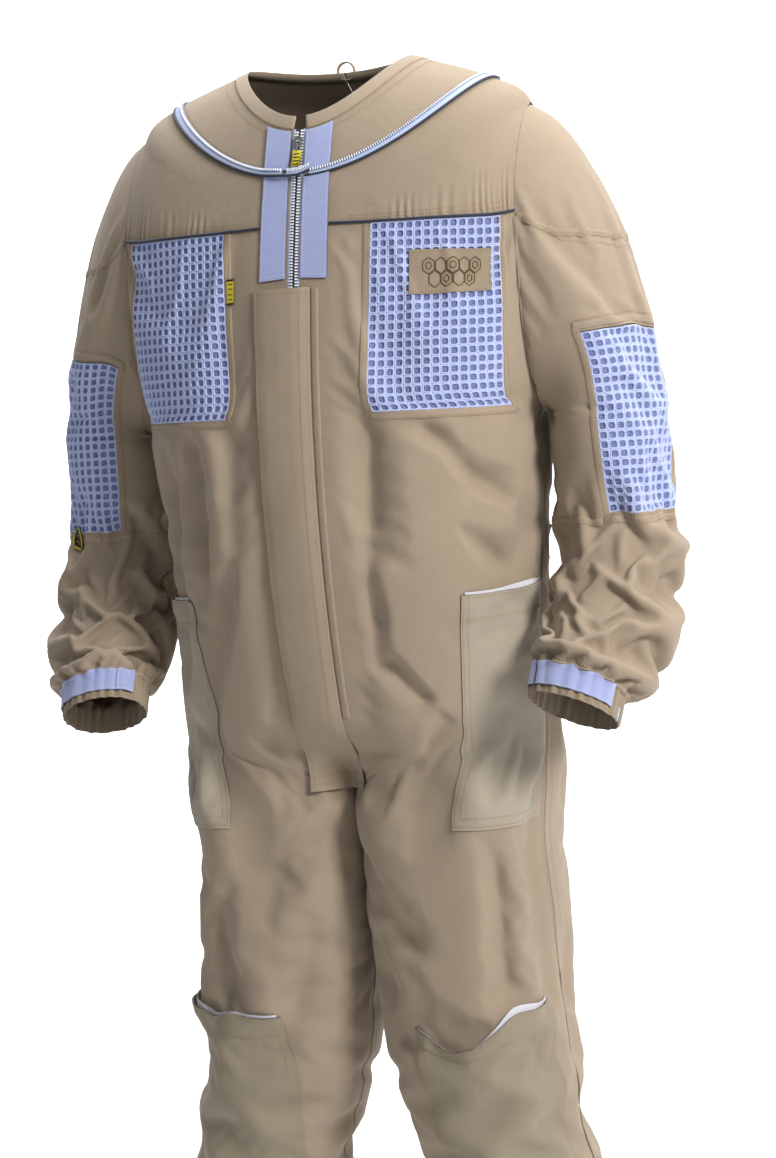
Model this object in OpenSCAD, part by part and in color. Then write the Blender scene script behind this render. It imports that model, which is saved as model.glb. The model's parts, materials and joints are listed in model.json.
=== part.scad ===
// Ventilated beekeeping coverall, worn shape, hood not fitted.
// Origin: centre of the neck opening on the shoulder-neck line.
// +X wearer's left, -Y front, +Z up.  All sizes in millimetres.

/* [Cloth] */
// Thickness of the cloth shells
cloth_t = 2; // [1:0.1:3]
// Gap left between neighbouring panels at a seam
seam_gap = 0.6; // [0.4:0.1:1]
// Thickness of sewn-on tapes and strips
trim_t = 1.3; // [0.8:0.1:2]

/* [Front closure] */
// Width of each hook-and-loop strip
strip_w = 27; // [20:1:35]
// Level of the storm flap's top edge
flap_top = -217; // [-240:1:-200]
// Level of the storm flap's bottom edge
flap_bottom = -715; // [-730:1:-680]
// Height of the flap above the zip
flap_rise = 9; // [8:0.5:12]
// Level of the slider when the front is shut
slider_z = -76; // [-90:1:-70]

/* [Neck] */
// Width of the hood zip's tape
ring_w = 11; // [8:0.5:14]

/* [Sleeves and legs] */
// Width of the wrist strap
cuff_strap_w = 22; // [15:1:28]
// Thickness of a patch pocket's pouch
pouch = 3; // [1:0.5:6]

/* [Hidden] */

khaki = [0.69,0.60,0.48]; mesh_c = [0.82,0.84,0.90]; loop_c = [0.80,0.78,0.88]; navy = [0.10,0.12,0.20];
white_c = [0.92,0.93,0.95]; metal_c = [0.72,0.72,0.74]; yellow_c = [0.86,0.80,0.20]; lining_c = [0.86,0.86,0.88];

// armhole plane and the circle that the centre front follows
AX = 205; AR = 953; AY = 793; AZ = -381;
// edge of the front panels beside the zip
FX = 6.5;

// torso rows: v, level at front, side, back, half width, depth at back, roundness
TOR = [[0,-60,8,-2,97,34,2.0],[1,-106,-16,-34,164,74,2.05],[2,-130,-48,-80,205,100,2.2],
 [3,-155,-155,-155,205,122,2.4],[4,-245,-245,-245,205,128,2.5],[5,-334,-334,-334,205,122,2.4],
 [6,-400,-400,-400,197,112,2.3],[7,-475,-475,-475,192,104,2.3],[8,-560,-560,-560,192,118,2.25],
 [9,-640,-640,-640,193,128,2.3],[10,-735,-735,-735,192,128,2.4]];
// leg rows: v, level, centre x, centre y, half width, front depth, back depth, roundness
LEG = [[9,-640,97,0,95,108,118,3.4],[10,-735,98,0,94,106,114,3.4],[11,-850,104,0,96,102,108,3.0],
 [12,-950,112,-4,96,100,104,2.6],[13,-1005,119,-6,94,100,100,2.4],[14,-1100,136,-4,85,94,96,2.2],
 [15,-1250,160,4,84,88,92,2.15],[16,-1380,176,10,76,82,86,2.1],[17,-1425,186,12,68,64,68,2.05],
 [18,-1460,190,12,66,60,63,2.0]];
// sleeve rows: v, level, centre x, centre y, half width, front depth, back depth
ARM = [[0,-345,265,14,57,72,72],[1,-400,267,14,58,68,70],[2,-440,269,10,60,66,68],[3,-490,268,-6,63,66,68],
 [4,-540,265,-34,63,64,66],[5,-585,257,-70,55,58,60],[6,-606,252,-92,43,43,44],[7,-634,248,-108,41,41,41]];

function clampf(x,a,b) = min(max(x,a),b);
function sg(x,p) = sign(x)*pow(abs(x),p);
// smooth curve through column c of a table whose first column counts up by one
function cr(t,c,v) = let(n=len(t), a=clampf(v-t[0][0],0,n-1), i=min(floor(a),n-2), s=a-i, y0=t[i][c], y1=t[i+1][c],
  m0 = i==0 ? y1-y0 : (y1-t[i-1][c])/2, m1 = i==n-2 ? y1-y0 : (t[i+2][c]-y0)/2, s2=s*s, s3=s2*s)
  (2*s3-3*s2+1)*y0+(s3-2*s2+s)*m0+(3*s2-2*s3)*y1+(s3-s2)*m1;
function yfront(z) = AY-sqrt(AR*AR-(z-AZ)*(z-AZ));
function arm_y(zs,fr) = let(r=abs((zs+191)/143), q=clampf(1-pow(r,2.2),0,1)) (fr?82:75)*pow(q,1/2.2);
function dep(v,fr) = fr ? -yfront(cr(TOR,1,v)) : cr(TOR,5,v);
function tw(v,fr) = (v>2 && v<5) ? let(d=dep(v,fr), n=cr(TOR,6,v), zs=cr(TOR,2,v))
  AX/pow(max(1-pow(arm_y(zs,fr)/d,n),0.000001),1/n) : cr(TOR,4,v);
function torso(u,v) = let(zf=cr(TOR,1,v), zs=cr(TOR,2,v), zb=cr(TOR,3,v), n=cr(TOR,6,v), c=cos(180*u), s=sin(180*u), fr=c>=0,
  w=tw(v,fr)) [min(w*pow(abs(s),2/n),AX), -dep(v,fr)*sg(c,2/n), zs+((fr?zf:zb)-zs)*c*c];
function leg(u,v) = let(z=cr(LEG,1,v), cx=cr(LEG,2,v), cy=cr(LEG,3,v), a=cr(LEG,4,v), bf=cr(LEG,5,v), bb=cr(LEG,6,v),
  n=cr(LEG,7,v), c=cos(360*u), s=sin(360*u)) [cx-a*sg(c,2/n), cy-(s>0?bf:bb)*sg(s,2/n), z];
function blend_m(v) = let(m=clampf(v-9,0,1)) m*m*(3-2*m);
function body(u,v) = v<=9 ? torso(u,v) : v>=10 ? leg(u,v) : let(m=blend_m(v)) (1-m)*torso(u,v)+m*leg(u,v);
// angle fraction at which the torso row is x wide, and the armhole edge
function ux(x,v,fr) = let(n=cr(TOR,6,v), w=tw(v,fr)) asin(clampf(pow(clampf(x/w,0,1),n/2),0,1))/180;
function ua(v,fr) = (v>2 && v<5) ? ux(AX,v,fr) : 0.5;
// half torso from the zip edge (a=0) over the side (0.5) to the centre back (1), and on round to the other side
function panel(a,v) = a>1 ? let(p=panel(2-a,v)) [-p[0],p[1],p[2]] :
  a<=0.5 ? let(u0=ux(FX,min(v,9),true)*(1-blend_m(v))) body(u0+(ua(v,true)-u0)*2*a,v) : body(1-(1-a)*2*ua(v,false),v);
// front or back surface at a stated distance x from the centre line
function at_x(x,v,fr) = let(p=body(fr?ux(abs(x),v,true):1-ux(abs(x),v,false),v)) [x<0?-p[0]:p[0],p[1],p[2]];
// armhole edge
function find_v(z,lo,hi,k) = k==0 ? (lo+hi)/2 : let(m=(lo+hi)/2) cr(TOR,2,m)>z ? find_v(z,m,hi,k-1) : find_v(z,lo,m,k-1);
function armhole(u0) = let(u=u0-floor(u0), fr=(u<=0.25||u>0.75),
  s = u<=0.25 ? (0.25-u)*2 : u>0.75 ? (1.25-u)*2 : (u-0.25)*2, zs=-191+143*cos(180*s), v=find_v(zs,2,5,14),
  zf=cr(TOR,1,v), zb=cr(TOR,3,v), n=cr(TOR,6,v), y=arm_y(zs,fr), c2=pow(y/dep(v,fr),n))
  [AX+1.2, fr?-y:y, zs+((fr?zf:zb)-zs)*c2];
// the rings lean square to the forearm towards the wrist
function lean(v) = let(t=min(1,max(0,(v-2.5)/3))) t*t*(3-2*t);
function armring(u,v) = let(c=cos(360*u), s=sin(360*u), p=2/2.1,
  dx=cr(ARM,4,v)*sg(s,p), dy=-(c>0?cr(ARM,5,v):cr(ARM,6,v))*sg(c,p))
  [cr(ARM,2,v)+dx, cr(ARM,3,v)+dy, cr(ARM,1,v)-lean(v)*(0.25*dx+0.5*dy)];
function sleeve(u,v) = v>=0 ? armring(u,v) : let(s=v+1, l=sin(360*u), A=armhole(u), R=armring(u,0),
  K1=A+[26+30*l,10*l,-10-4*l], K2=R+[2-2*l,0,62+70*l]) (1-s)*(1-s)*(1-s)*A+3*(1-s)*(1-s)*s*K1+3*(1-s)*s*s*K2+s*s*s*R;

// k: 0 half torso, 1 sleeve, 2 front by x, 3 back by x, 4 leg
function S(k,a,v) = k==0 ? panel(a,v) : k==1 ? sleeve(a,v) : k==2 ? at_x(a,v,true) : k==3 ? at_x(a,v,false) : body(a,v);
function nrm(k,a,v,a0,a1,v0,v1,cl) = let(ea=(k==2||k==3)?1.5:0.006, ev=0.02,
  p=S(k,cl?a+ea:min(a+ea,a1),v)-S(k,cl?a-ea:max(a-ea,a0),v), q=S(k,a,min(v+ev,v1))-S(k,a,max(v-ev,v0)),
  n=(k==3?-1:1)*cross(q,p), m=norm(n)) m<0.000001 ? [0,-1,0] : n/m;
function lin(a,b,n) = [for(i=[0:n]) a+(b-a)*i/n];
function inside(a,v,h) = len([for(r=h) if(a>r[0]&&a<r[1]&&v>r[2]&&v<r[3]) 1])>0;
function keep_x(p,xm) = [max(p[0],xm),p[1],p[2]];

// a sheet lying on a surface: us by vs grid, from offset o0 to o1, with rectangular holes,
// puff domes its outer face, xm keeps it on one side of a plane
module sheet(k,us,vs,o0,o1,holes=[],closed=false,puff=0,xm=-10000) {
  nu=len(us); nv=len(vs); cu=closed?nu:nu-1;
  a0=us[0]; a1=us[nu-1]; v0=vs[0]; v1=vs[nv-1];
  pn=[for(j=[0:nv-1]) for(i=[0:nu-1]) [S(k,us[i],vs[j]), nrm(k,us[i],vs[j],a0,a1,v0,v1,closed)]];
  dome=[for(j=[0:nv-1]) for(i=[0:nu-1]) puff*(closed?1:sin(180*(us[i]-a0)/(a1-a0)))*sin(180*(vs[j]-v0)/(v1-v0))];
  pts=concat([for(i=[0:nu*nv-1]) keep_x(pn[i][0]+pn[i][1]*o0,xm)], [for(i=[0:nu*nv-1]) keep_x(pn[i][0]+pn[i][1]*(o1+dome[i]),xm)]);
  N=nu*nv;
  function id(i,j) = j*nu+(i%nu);
  function um(i) = closed && i==nu-1 ? (us[i]+1+us[0])/2 : (us[i]+us[i+1])/2;
  M=[for(j=[0:nv-2]) [for(i=[0:cu-1]) !inside(um(i),(vs[j]+vs[j+1])/2,holes)]];
  function on(i,j) = (j<0||j>nv-2) ? false : closed ? M[j][(i+cu)%cu] : (i<0||i>cu-1) ? false : M[j][i];
  function wall(a,b) = [[a,b,b+N],[a,b+N,a+N]];
  F=[for(j=[0:nv-2]) for(i=[0:cu-1]) if(M[j][i]) let(A=id(i,j),B=id(i+1,j),C=id(i+1,j+1),D=id(i,j+1))
     each concat([[A+N,B+N,C+N],[A+N,C+N,D+N],[A,C,B],[A,D,C]],
      on(i,j-1)?[]:wall(A,B), on(i,j+1)?[]:wall(C,D), on(i-1,j)?[]:wall(D,A), on(i+1,j)?[]:wall(B,C))];
  polyhedron(points=pts, faces=F, convexity=8);
}
module left() { children(); }
module right() { mirror([1,0,0]) children(); }
// bar of rectangular section following the centre front's circle
module front_arc(x0,x1,o0,o1,z0,z1) {
  t0=asin((z0-AZ)/AR); t1=asin((z1-AZ)/AR);
  translate([0,AY,AZ]) rotate([0,90,0]) rotate([0,0,-90-t0]) rotate_extrude(angle=t0-t1,$fn=360)
    translate([AR+o0,x0]) square([o1-o0,x1-x0]);
}
// puts children at level z on the centre front, local +Z along the front, local -Y outward
module on_front(z) { t=asin((z-AZ)/AR); translate([0,AY,AZ]) rotate([-t,0,0]) translate([0,-AR,0]) children(); }
g = seam_gap/600; gv = seam_gap/90;

// ---- torso ----
module yoke() color(khaki) {
  sheet(0,lin(0,0.5-g,8),concat(lin(1.13,2,4),lin(2.25,3-gv,3)),-cloth_t,0);
  sheet(0,lin(0.5+g,1-g,8),concat(lin(1.13,2,4),lin(2.25,3-gv,3)),-cloth_t,0,xm=0.3);
}
module collar_band() color(khaki) for(s=[0,1]) mirror([s,0,0]) sheet(0,lin(0,1-g,15),lin(0,0.9,3),-cloth_t,0,xm=0.3);
module front_panel() color(khaki)
  sheet(0,concat(lin(0,0.12-g,3),lin(0.12,0.43,7),[0.43+g,0.465,0.5-g]),concat(lin(3+gv,5.05,8),lin(5.05+gv,9,14)),-cloth_t,0,[[0.12-g,0.43+0.8*g,2,5.05+gv/2]]);
module chest_mesh() color(mesh_c) sheet(0,lin(0.12,0.43,7),lin(3+gv,5.05-gv,8),-cloth_t,-0.2);
module back_panel() color(khaki)
  sheet(0,concat(lin(0.5+g,0.72,5),lin(0.72+g,1-g,6)),concat([3+gv],lin(3.3,5.3,8),lin(5.3+gv,9,14)),-cloth_t,0,[[0.72+g/2,1.2,3.3,5.3+gv/2]],xm=0.3);
module back_mesh() color(mesh_c) sheet(0,lin(0.72+2*g,1.28-2*g,13),lin(3.3+gv,5.3-gv,8),-cloth_t,-0.2);
module waist_elastic() color(khaki) sheet(0,lin(0.58,1.42,16),lin(6.85,7.2,2),0.9,0.9+trim_t);
module yoke_piping() color(navy) {
  for(s=[0,1]) mirror([s,0,0]) sheet(0,lin(0.049,0.482,9),[2.985,3.02],0.9,3);
  sheet(0,lin(0.518,1.482,22),[2.985,3.02],0.9,3);
}
module neck_zip_tape() color(white_c) sheet(0,lin(0.012,1.988,40),[1.01-ring_w/140,1.01+ring_w/140],1.1,1.1+trim_t);
module neck_zip_teeth() color(white_c) sheet(0,lin(0.02,1.98,40),[0.965,0.985],1.4+trim_t,3+trim_t);
module neck_zip_piping() color(navy) sheet(0,lin(0.012,1.988,40),[1.10,1.125],0.9,3.2);
module neck_zip_tab() color(white_c) sheet(2,lin(-7,15,4),[0.97,1.09],6.6,7.8);
module front_zip_tape() color(white_c) for(s=[0,1]) mirror([s,0,0]) front_arc(3.1,FX-0.6,-1.8,-0.9,-62,-637);
module front_zip_teeth() color(white_c) for(s=[0,1]) mirror([s,0,0]) front_arc(1.2,2.9,-1.8,0.5,-64,-636);
module hook_strip() color(loop_c) sheet(2,lin(7.5,7.5+strip_w,4),concat(lin(0.12,0.84,3),lin(1.18,3,7),lin(3.2,3.62,2)),1,1+trim_t,[[-100,100,0.84,1.18]]);
module hip_pocket() color(khaki) sheet(0,lin(0.235,0.492,9),lin(7.4,10.15,12),1.2,1.2+trim_t,puff=pouch);
module chest_patch() color(khaki) sheet(0,lin(0.2,0.405,6),lin(3.35,3.83,3),0.7,1.7);
module chest_label() color(yellow_c) right() sheet(0,lin(0.095,0.117,1),[3.55,3.8],0.9,1.7);
module hanger_loop() color(khaki) translate([0,32.6,7.5]) rotate([90,0,0]) rotate_extrude($fn=48) translate([9,0]) circle(r=1.6,$fn=16);
module hip_fabric() color(khaki) sheet(4,lin(0.004,0.996,26),concat(lin(9+gv,10,6),lin(10.2,11-gv,3)),-cloth_t,0,xm=0.4);

// ---- front closure ----
module storm_flap() color(khaki) {
  t0=asin((flap_top-AZ)/AR); t1=asin((flap_bottom-AZ)/AR); r=flap_rise; t=1.5;
  translate([0,AY,AZ]) rotate([0,90,0]) rotate([0,0,-90-t0]) rotate_extrude(angle=t0-t1,$fn=360)
    polygon([[AR+2,17],[AR+r,9],[AR+r,-33],[AR+3,-41],[AR+3+t,-42],[AR+r+t,-34],[AR+r+t,10],[AR+2+t,18]]);
}
module front_zip_slider() color(metal_c) on_front(slider_z) {
  translate([-4.2,-2.6,-5]) cube([8.4,1.4,10]);
  translate([-4.2,3,-5]) cube([8.4,1.2,10]);
  translate([-0.85,-2,1]) cube([1.7,6,3.6]);
  for(x=[-2.6,1.6]) translate([x,-4.6,-1.2]) cube([1,2.4,2.4]);
  translate([-2.6,-3.9,0]) rotate([0,90,0]) cylinder(r=0.55,h=5.2,$fn=24);
}
module front_zip_puller() color(metal_c) on_front(slider_z) translate([0,-3.9,0]) {
  rotate([0,90,0]) translate([0,0,-1.1]) difference() { cylinder(r=1.15,h=2.2,$fn=32); translate([0,0,-1]) cylinder(r=0.62,h=5,$fn=32); }
  translate([-1,-1,-9]) cube([2,1.6,7.6]);
}
module puller_tab() color(yellow_c) on_front(slider_z) translate([0,-3.9,0]) translate([-3.5,-1.4,-22]) cube([7,2.4,12.6]);

// ---- sleeves ----
AV0 = -1; AV1 = 0.85; AV2 = 3.1; AV3 = 6;
module upper_sleeve() color(khaki)
  sheet(1,concat(lin(-0.46,-0.02,7),lin(-0.02+g,0.28,5),[0.28+g,0.34,0.41,0.48]),concat([-1,-0.93,-0.8,-0.62,-0.45,-0.28],lin(-0.28+gv/1.5,0.7,6),[AV1-gv]),-cloth_t,0,[[-0.02+0.7*g,0.28+0.3*g,-0.276,0.69]],closed=true,xm=AX+0.5);
module sleeve_mesh() color(mesh_c) sheet(1,lin(-0.02+2*g,0.28-g,5),lin(-0.28+2*gv,0.7-gv,6),-cloth_t,-0.2);
module sleeve_label() color(yellow_c) right() sheet(1,lin(0.06,0.11,1),[1.05,1.6],0.9,1.8);
module elbow_fabric() color(khaki) sheet(1,lin(0,0.95,18),lin(AV1,AV2-gv,5),-cloth_t,0,closed=true,xm=AX+0.5);
module lower_sleeve() color(khaki) sheet(1,lin(0,0.95,18),lin(AV2,AV3-0.03,7),-cloth_t,0,closed=true);
module wrist_cuff() color(khaki) sheet(1,lin(0,0.95,18),lin(AV3,7,2),-cloth_t,0,closed=true);
module cuff_strap() color(loop_c) sheet(1,lin(-0.19,0.19,9),[6.05,6.05+cuff_strap_w/30],1.2,1.2+trim_t);

// ---- legs ----
LV1 = 11.95; LV2 = 13.63;
module thigh_panel() color(khaki) sheet(4,lin(0,0.96,22),lin(11,LV1-gv,4),-cloth_t,0,closed=true);
module knee_fabric() color(khaki) sheet(4,lin(0,0.96,22),lin(LV1,LV2-gv,4),-cloth_t,0,closed=true);
module shin_panel() color(khaki) sheet(4,lin(0,0.96,20),lin(LV2,17-gv,7),-cloth_t,0,closed=true);
module ankle_cuff() color(khaki) sheet(4,lin(0,0.96,20),lin(17,18,2),-cloth_t,0,closed=true);
module knee_pocket() color(khaki) sheet(4,lin(0.18,0.46,8),lin(11.75,14.3,8),0.9,0.9+trim_t,puff=pouch);
// ankle zip along the outer side
function side(v) = leg(0.5,v);
module ankle_zip() color(white_c) {
  sheet(4,lin(0.48,0.52,2),lin(15.1,17.95,6),0.8,1.8);
  for(s=[-1,1]) sheet(4,[0.5+s*0.0042-0.002,0.5+s*0.0042+0.002],lin(15.15,17.9,6),2.1,3.3);
}
module ankle_zip_slider() color(metal_c) {
  p=side(17.7); d=side(17.7)-side(15.4);
  translate(p+[4.4,0,0]) rotate([0,atan2(d[0],d[2])+180,0]) {
    translate([-0.6,-3.5,-4]) cube([2,7,8]);
    translate([1.2,-0.8,-15]) cube([1.2,1.6,13]);
  }
}

left() yoke();  // yoke_left
right() yoke();  // yoke_right
left() front_panel();  // front_panel_left
right() front_panel();  // front_panel_right
left() chest_mesh();  // chest_mesh_left
right() chest_mesh();  // chest_mesh_right
left() back_panel();  // back_panel_left
right() back_panel();  // back_panel_right
back_mesh();
waist_elastic();
collar_band();
yoke_piping();
neck_zip_tape();
neck_zip_teeth();
neck_zip_piping();
neck_zip_tab();
front_zip_tape();
front_zip_teeth();
left() hook_strip();  // hook_strip_left
right() hook_strip();  // hook_strip_right
left() hip_pocket();  // hip_pocket_left
right() hip_pocket();  // hip_pocket_right
chest_patch();
chest_label();
hanger_loop();
left() hip_fabric();  // hip_fabric_left
right() hip_fabric();  // hip_fabric_right
storm_flap();
front_zip_slider();
front_zip_puller();
puller_tab();
left() upper_sleeve();  // upper_sleeve_left
right() upper_sleeve();  // upper_sleeve_right
left() sleeve_mesh();  // sleeve_mesh_left
right() sleeve_mesh();  // sleeve_mesh_right
sleeve_label();
left() elbow_fabric();  // elbow_fabric_left
right() elbow_fabric();  // elbow_fabric_right
left() lower_sleeve();  // lower_sleeve_left
right() lower_sleeve();  // lower_sleeve_right
left() wrist_cuff();  // wrist_cuff_left
right() wrist_cuff();  // wrist_cuff_right
left() cuff_strap();  // cuff_strap_left
right() cuff_strap();  // cuff_strap_right
left() thigh_panel();  // thigh_panel_left
right() thigh_panel();  // thigh_panel_right
left() knee_fabric();  // knee_fabric_left
right() knee_fabric();  // knee_fabric_right
left() knee_pocket();  // knee_pocket_left
right() knee_pocket();  // knee_pocket_right
left() shin_panel();  // shin_panel_left
right() shin_panel();  // shin_panel_right
left() ankle_cuff();  // ankle_cuff_left
right() ankle_cuff();  // ankle_cuff_right
left() ankle_zip();  // ankle_zip_left
right() ankle_zip();  // ankle_zip_right
left() ankle_zip_slider();  // ankle_zip_slider_left
right() ankle_zip_slider();  // ankle_zip_slider_right
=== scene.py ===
# Look of the ventilated beekeeping suit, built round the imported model.
import bpy, math, json
import numpy as np
from mathutils import Vector, Matrix
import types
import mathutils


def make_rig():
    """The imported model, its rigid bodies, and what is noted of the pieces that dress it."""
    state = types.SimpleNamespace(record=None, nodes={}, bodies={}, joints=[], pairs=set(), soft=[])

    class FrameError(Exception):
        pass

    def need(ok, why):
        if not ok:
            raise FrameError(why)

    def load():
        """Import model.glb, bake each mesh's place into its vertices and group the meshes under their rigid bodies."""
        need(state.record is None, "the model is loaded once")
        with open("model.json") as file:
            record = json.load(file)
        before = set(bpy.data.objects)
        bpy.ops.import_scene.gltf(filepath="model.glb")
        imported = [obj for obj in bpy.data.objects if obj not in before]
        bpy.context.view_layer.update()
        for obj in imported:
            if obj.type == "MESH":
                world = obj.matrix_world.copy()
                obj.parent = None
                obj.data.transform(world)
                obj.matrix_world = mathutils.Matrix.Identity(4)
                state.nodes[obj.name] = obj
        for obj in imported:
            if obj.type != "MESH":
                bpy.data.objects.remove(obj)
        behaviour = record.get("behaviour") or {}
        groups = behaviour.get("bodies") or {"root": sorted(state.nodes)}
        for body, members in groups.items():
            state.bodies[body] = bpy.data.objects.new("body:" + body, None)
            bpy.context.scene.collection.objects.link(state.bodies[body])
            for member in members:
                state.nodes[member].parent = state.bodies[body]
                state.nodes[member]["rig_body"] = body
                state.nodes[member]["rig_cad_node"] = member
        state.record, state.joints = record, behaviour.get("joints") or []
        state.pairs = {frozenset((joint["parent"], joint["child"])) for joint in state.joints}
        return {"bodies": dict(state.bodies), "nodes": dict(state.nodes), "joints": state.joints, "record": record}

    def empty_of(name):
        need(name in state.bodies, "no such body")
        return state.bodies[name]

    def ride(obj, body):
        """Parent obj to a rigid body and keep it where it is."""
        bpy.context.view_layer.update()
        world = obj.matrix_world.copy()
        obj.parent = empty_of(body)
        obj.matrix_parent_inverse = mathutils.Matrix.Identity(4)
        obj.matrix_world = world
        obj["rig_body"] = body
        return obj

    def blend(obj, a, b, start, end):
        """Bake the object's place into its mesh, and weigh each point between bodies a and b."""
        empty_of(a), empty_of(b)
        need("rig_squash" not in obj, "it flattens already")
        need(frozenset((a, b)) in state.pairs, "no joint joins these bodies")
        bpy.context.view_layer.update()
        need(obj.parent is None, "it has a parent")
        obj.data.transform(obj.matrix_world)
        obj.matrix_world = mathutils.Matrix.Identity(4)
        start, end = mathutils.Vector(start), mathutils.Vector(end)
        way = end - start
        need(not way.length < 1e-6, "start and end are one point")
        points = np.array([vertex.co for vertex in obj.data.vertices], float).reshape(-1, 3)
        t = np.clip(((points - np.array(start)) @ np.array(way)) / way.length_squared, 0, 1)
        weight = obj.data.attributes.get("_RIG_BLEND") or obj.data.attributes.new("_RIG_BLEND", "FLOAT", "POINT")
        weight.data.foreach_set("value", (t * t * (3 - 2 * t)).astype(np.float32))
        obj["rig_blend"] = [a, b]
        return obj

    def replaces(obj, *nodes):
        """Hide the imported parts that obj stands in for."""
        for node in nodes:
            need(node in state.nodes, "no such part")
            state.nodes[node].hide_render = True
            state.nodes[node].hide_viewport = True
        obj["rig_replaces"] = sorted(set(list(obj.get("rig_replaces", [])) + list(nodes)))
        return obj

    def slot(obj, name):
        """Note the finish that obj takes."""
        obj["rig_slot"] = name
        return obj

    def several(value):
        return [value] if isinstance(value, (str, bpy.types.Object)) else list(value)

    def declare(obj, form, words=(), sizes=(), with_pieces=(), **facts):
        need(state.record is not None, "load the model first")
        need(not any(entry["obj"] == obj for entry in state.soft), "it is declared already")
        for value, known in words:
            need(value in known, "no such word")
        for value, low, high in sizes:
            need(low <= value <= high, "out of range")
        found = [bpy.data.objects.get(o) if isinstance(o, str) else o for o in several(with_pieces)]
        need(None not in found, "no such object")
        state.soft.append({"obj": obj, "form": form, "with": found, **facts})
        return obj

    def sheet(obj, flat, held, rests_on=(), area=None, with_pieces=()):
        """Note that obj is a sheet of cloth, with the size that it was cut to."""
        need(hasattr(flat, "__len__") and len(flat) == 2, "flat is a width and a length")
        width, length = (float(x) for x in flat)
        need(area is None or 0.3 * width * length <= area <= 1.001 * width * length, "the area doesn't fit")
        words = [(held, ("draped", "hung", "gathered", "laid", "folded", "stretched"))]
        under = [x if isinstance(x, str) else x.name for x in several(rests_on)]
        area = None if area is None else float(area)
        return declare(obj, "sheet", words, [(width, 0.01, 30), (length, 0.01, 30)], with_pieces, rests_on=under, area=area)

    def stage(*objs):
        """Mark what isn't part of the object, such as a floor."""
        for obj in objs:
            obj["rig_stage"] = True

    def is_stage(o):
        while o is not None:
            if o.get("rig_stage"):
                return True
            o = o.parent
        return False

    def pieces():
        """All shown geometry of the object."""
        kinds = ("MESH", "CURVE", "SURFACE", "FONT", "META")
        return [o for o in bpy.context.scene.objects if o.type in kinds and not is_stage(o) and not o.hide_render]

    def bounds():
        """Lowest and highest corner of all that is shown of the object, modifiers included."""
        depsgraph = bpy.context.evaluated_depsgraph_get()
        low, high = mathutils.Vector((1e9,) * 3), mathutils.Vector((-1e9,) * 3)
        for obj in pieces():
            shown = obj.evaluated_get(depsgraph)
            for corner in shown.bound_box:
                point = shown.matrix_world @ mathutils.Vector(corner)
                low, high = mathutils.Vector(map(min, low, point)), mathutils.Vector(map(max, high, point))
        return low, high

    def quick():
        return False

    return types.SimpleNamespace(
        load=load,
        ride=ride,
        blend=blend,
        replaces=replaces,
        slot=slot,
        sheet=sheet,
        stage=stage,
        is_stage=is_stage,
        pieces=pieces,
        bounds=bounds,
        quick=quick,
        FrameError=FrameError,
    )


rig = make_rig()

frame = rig.load()
CADB = [list(map(float, c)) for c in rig.bounds()]
SIDES = ("left", "right")
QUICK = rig.quick()

# ------------------------------------------------------------------ shape rows, in mm, as in part.scad
TOR = np.array([[0,-60,8,-2,97,34,2.0],[1,-106,-16,-34,164,74,2.05],[2,-130,-48,-80,205,100,2.2],
 [3,-155,-155,-155,205,122,2.4],[4,-245,-245,-245,205,128,2.5],[5,-334,-334,-334,205,122,2.4],
 [6,-400,-400,-400,197,112,2.3],[7,-475,-475,-475,192,104,2.3],[8,-560,-560,-560,192,118,2.25],
 [9,-640,-640,-640,193,128,2.3],[10,-735,-735,-735,192,128,2.4]], float)
LEG = np.array([[9,-640,97,0,95,108,118,3.4],[10,-735,98,0,94,106,114,3.4],[11,-850,104,0,96,102,108,3.0],
 [12,-950,112,-4,96,100,104,2.6],[13,-1005,119,-6,94,100,100,2.4],[14,-1100,136,-4,85,94,96,2.2],
 [15,-1250,160,4,84,88,92,2.15],[16,-1380,176,10,76,82,86,2.1],[17,-1425,186,12,68,64,68,2.05],
 [18,-1460,190,12,66,60,63,2.0]], float)
ARM = np.array([[0,-345,265,14,57,72,72],[1,-400,267,14,58,68,70],[2,-440,269,10,60,66,68],[3,-490,268,-6,63,66,68],
 [4,-540,265,-34,63,64,66],[5,-585,257,-70,55,58,60],[6,-606,252,-92,43,43,44],[7,-634,248,-108,41,41,41]], float)
AX, AR, AY, AZ, FX = 205., 953., 793., -381., 6.5

def cr(t, c, v):
    y = t[:, c]; n = len(y)
    m = np.empty(n); m[0] = y[1]-y[0]; m[-1] = y[-1]-y[-2]; m[1:-1] = (y[2:]-y[:-2])/2
    a = np.clip(np.asarray(v, float)-t[0, 0], 0, n-1); i = np.minimum(a.astype(int), n-2); s = a-i
    return (2*s**3-3*s**2+1)*y[i]+(s**3-2*s**2+s)*m[i]+(3*s**2-2*s**3)*y[i+1]+(s**3-s**2)*m[i+1]
def sg(x, p): return np.sign(x)*np.abs(x)**p
def sst(x, a, b):
    t = np.clip((np.asarray(x, float)-a)/(b-a), 0, 1); return t*t*(3-2*t)
def yf(z): return AY-np.sqrt(AR*AR-(z-AZ)**2)
def arm_y(zs, fr):
    q = np.clip(1-np.abs((zs+191)/143.)**2.2, 0, 1); return np.where(fr, 82., 75.)*q**(1/2.2)
def dep(v, fr): return np.where(fr, -yf(cr(TOR, 1, v)), cr(TOR, 5, v))
def tw(v, fr):
    d = dep(v, fr); n = cr(TOR, 6, v)
    w = AX/np.clip(1-(arm_y(cr(TOR, 2, v), fr)/d)**n, 1e-6, 1)**(1/n)
    return np.where((v > 2) & (v < 5), w, cr(TOR, 4, v))
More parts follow.
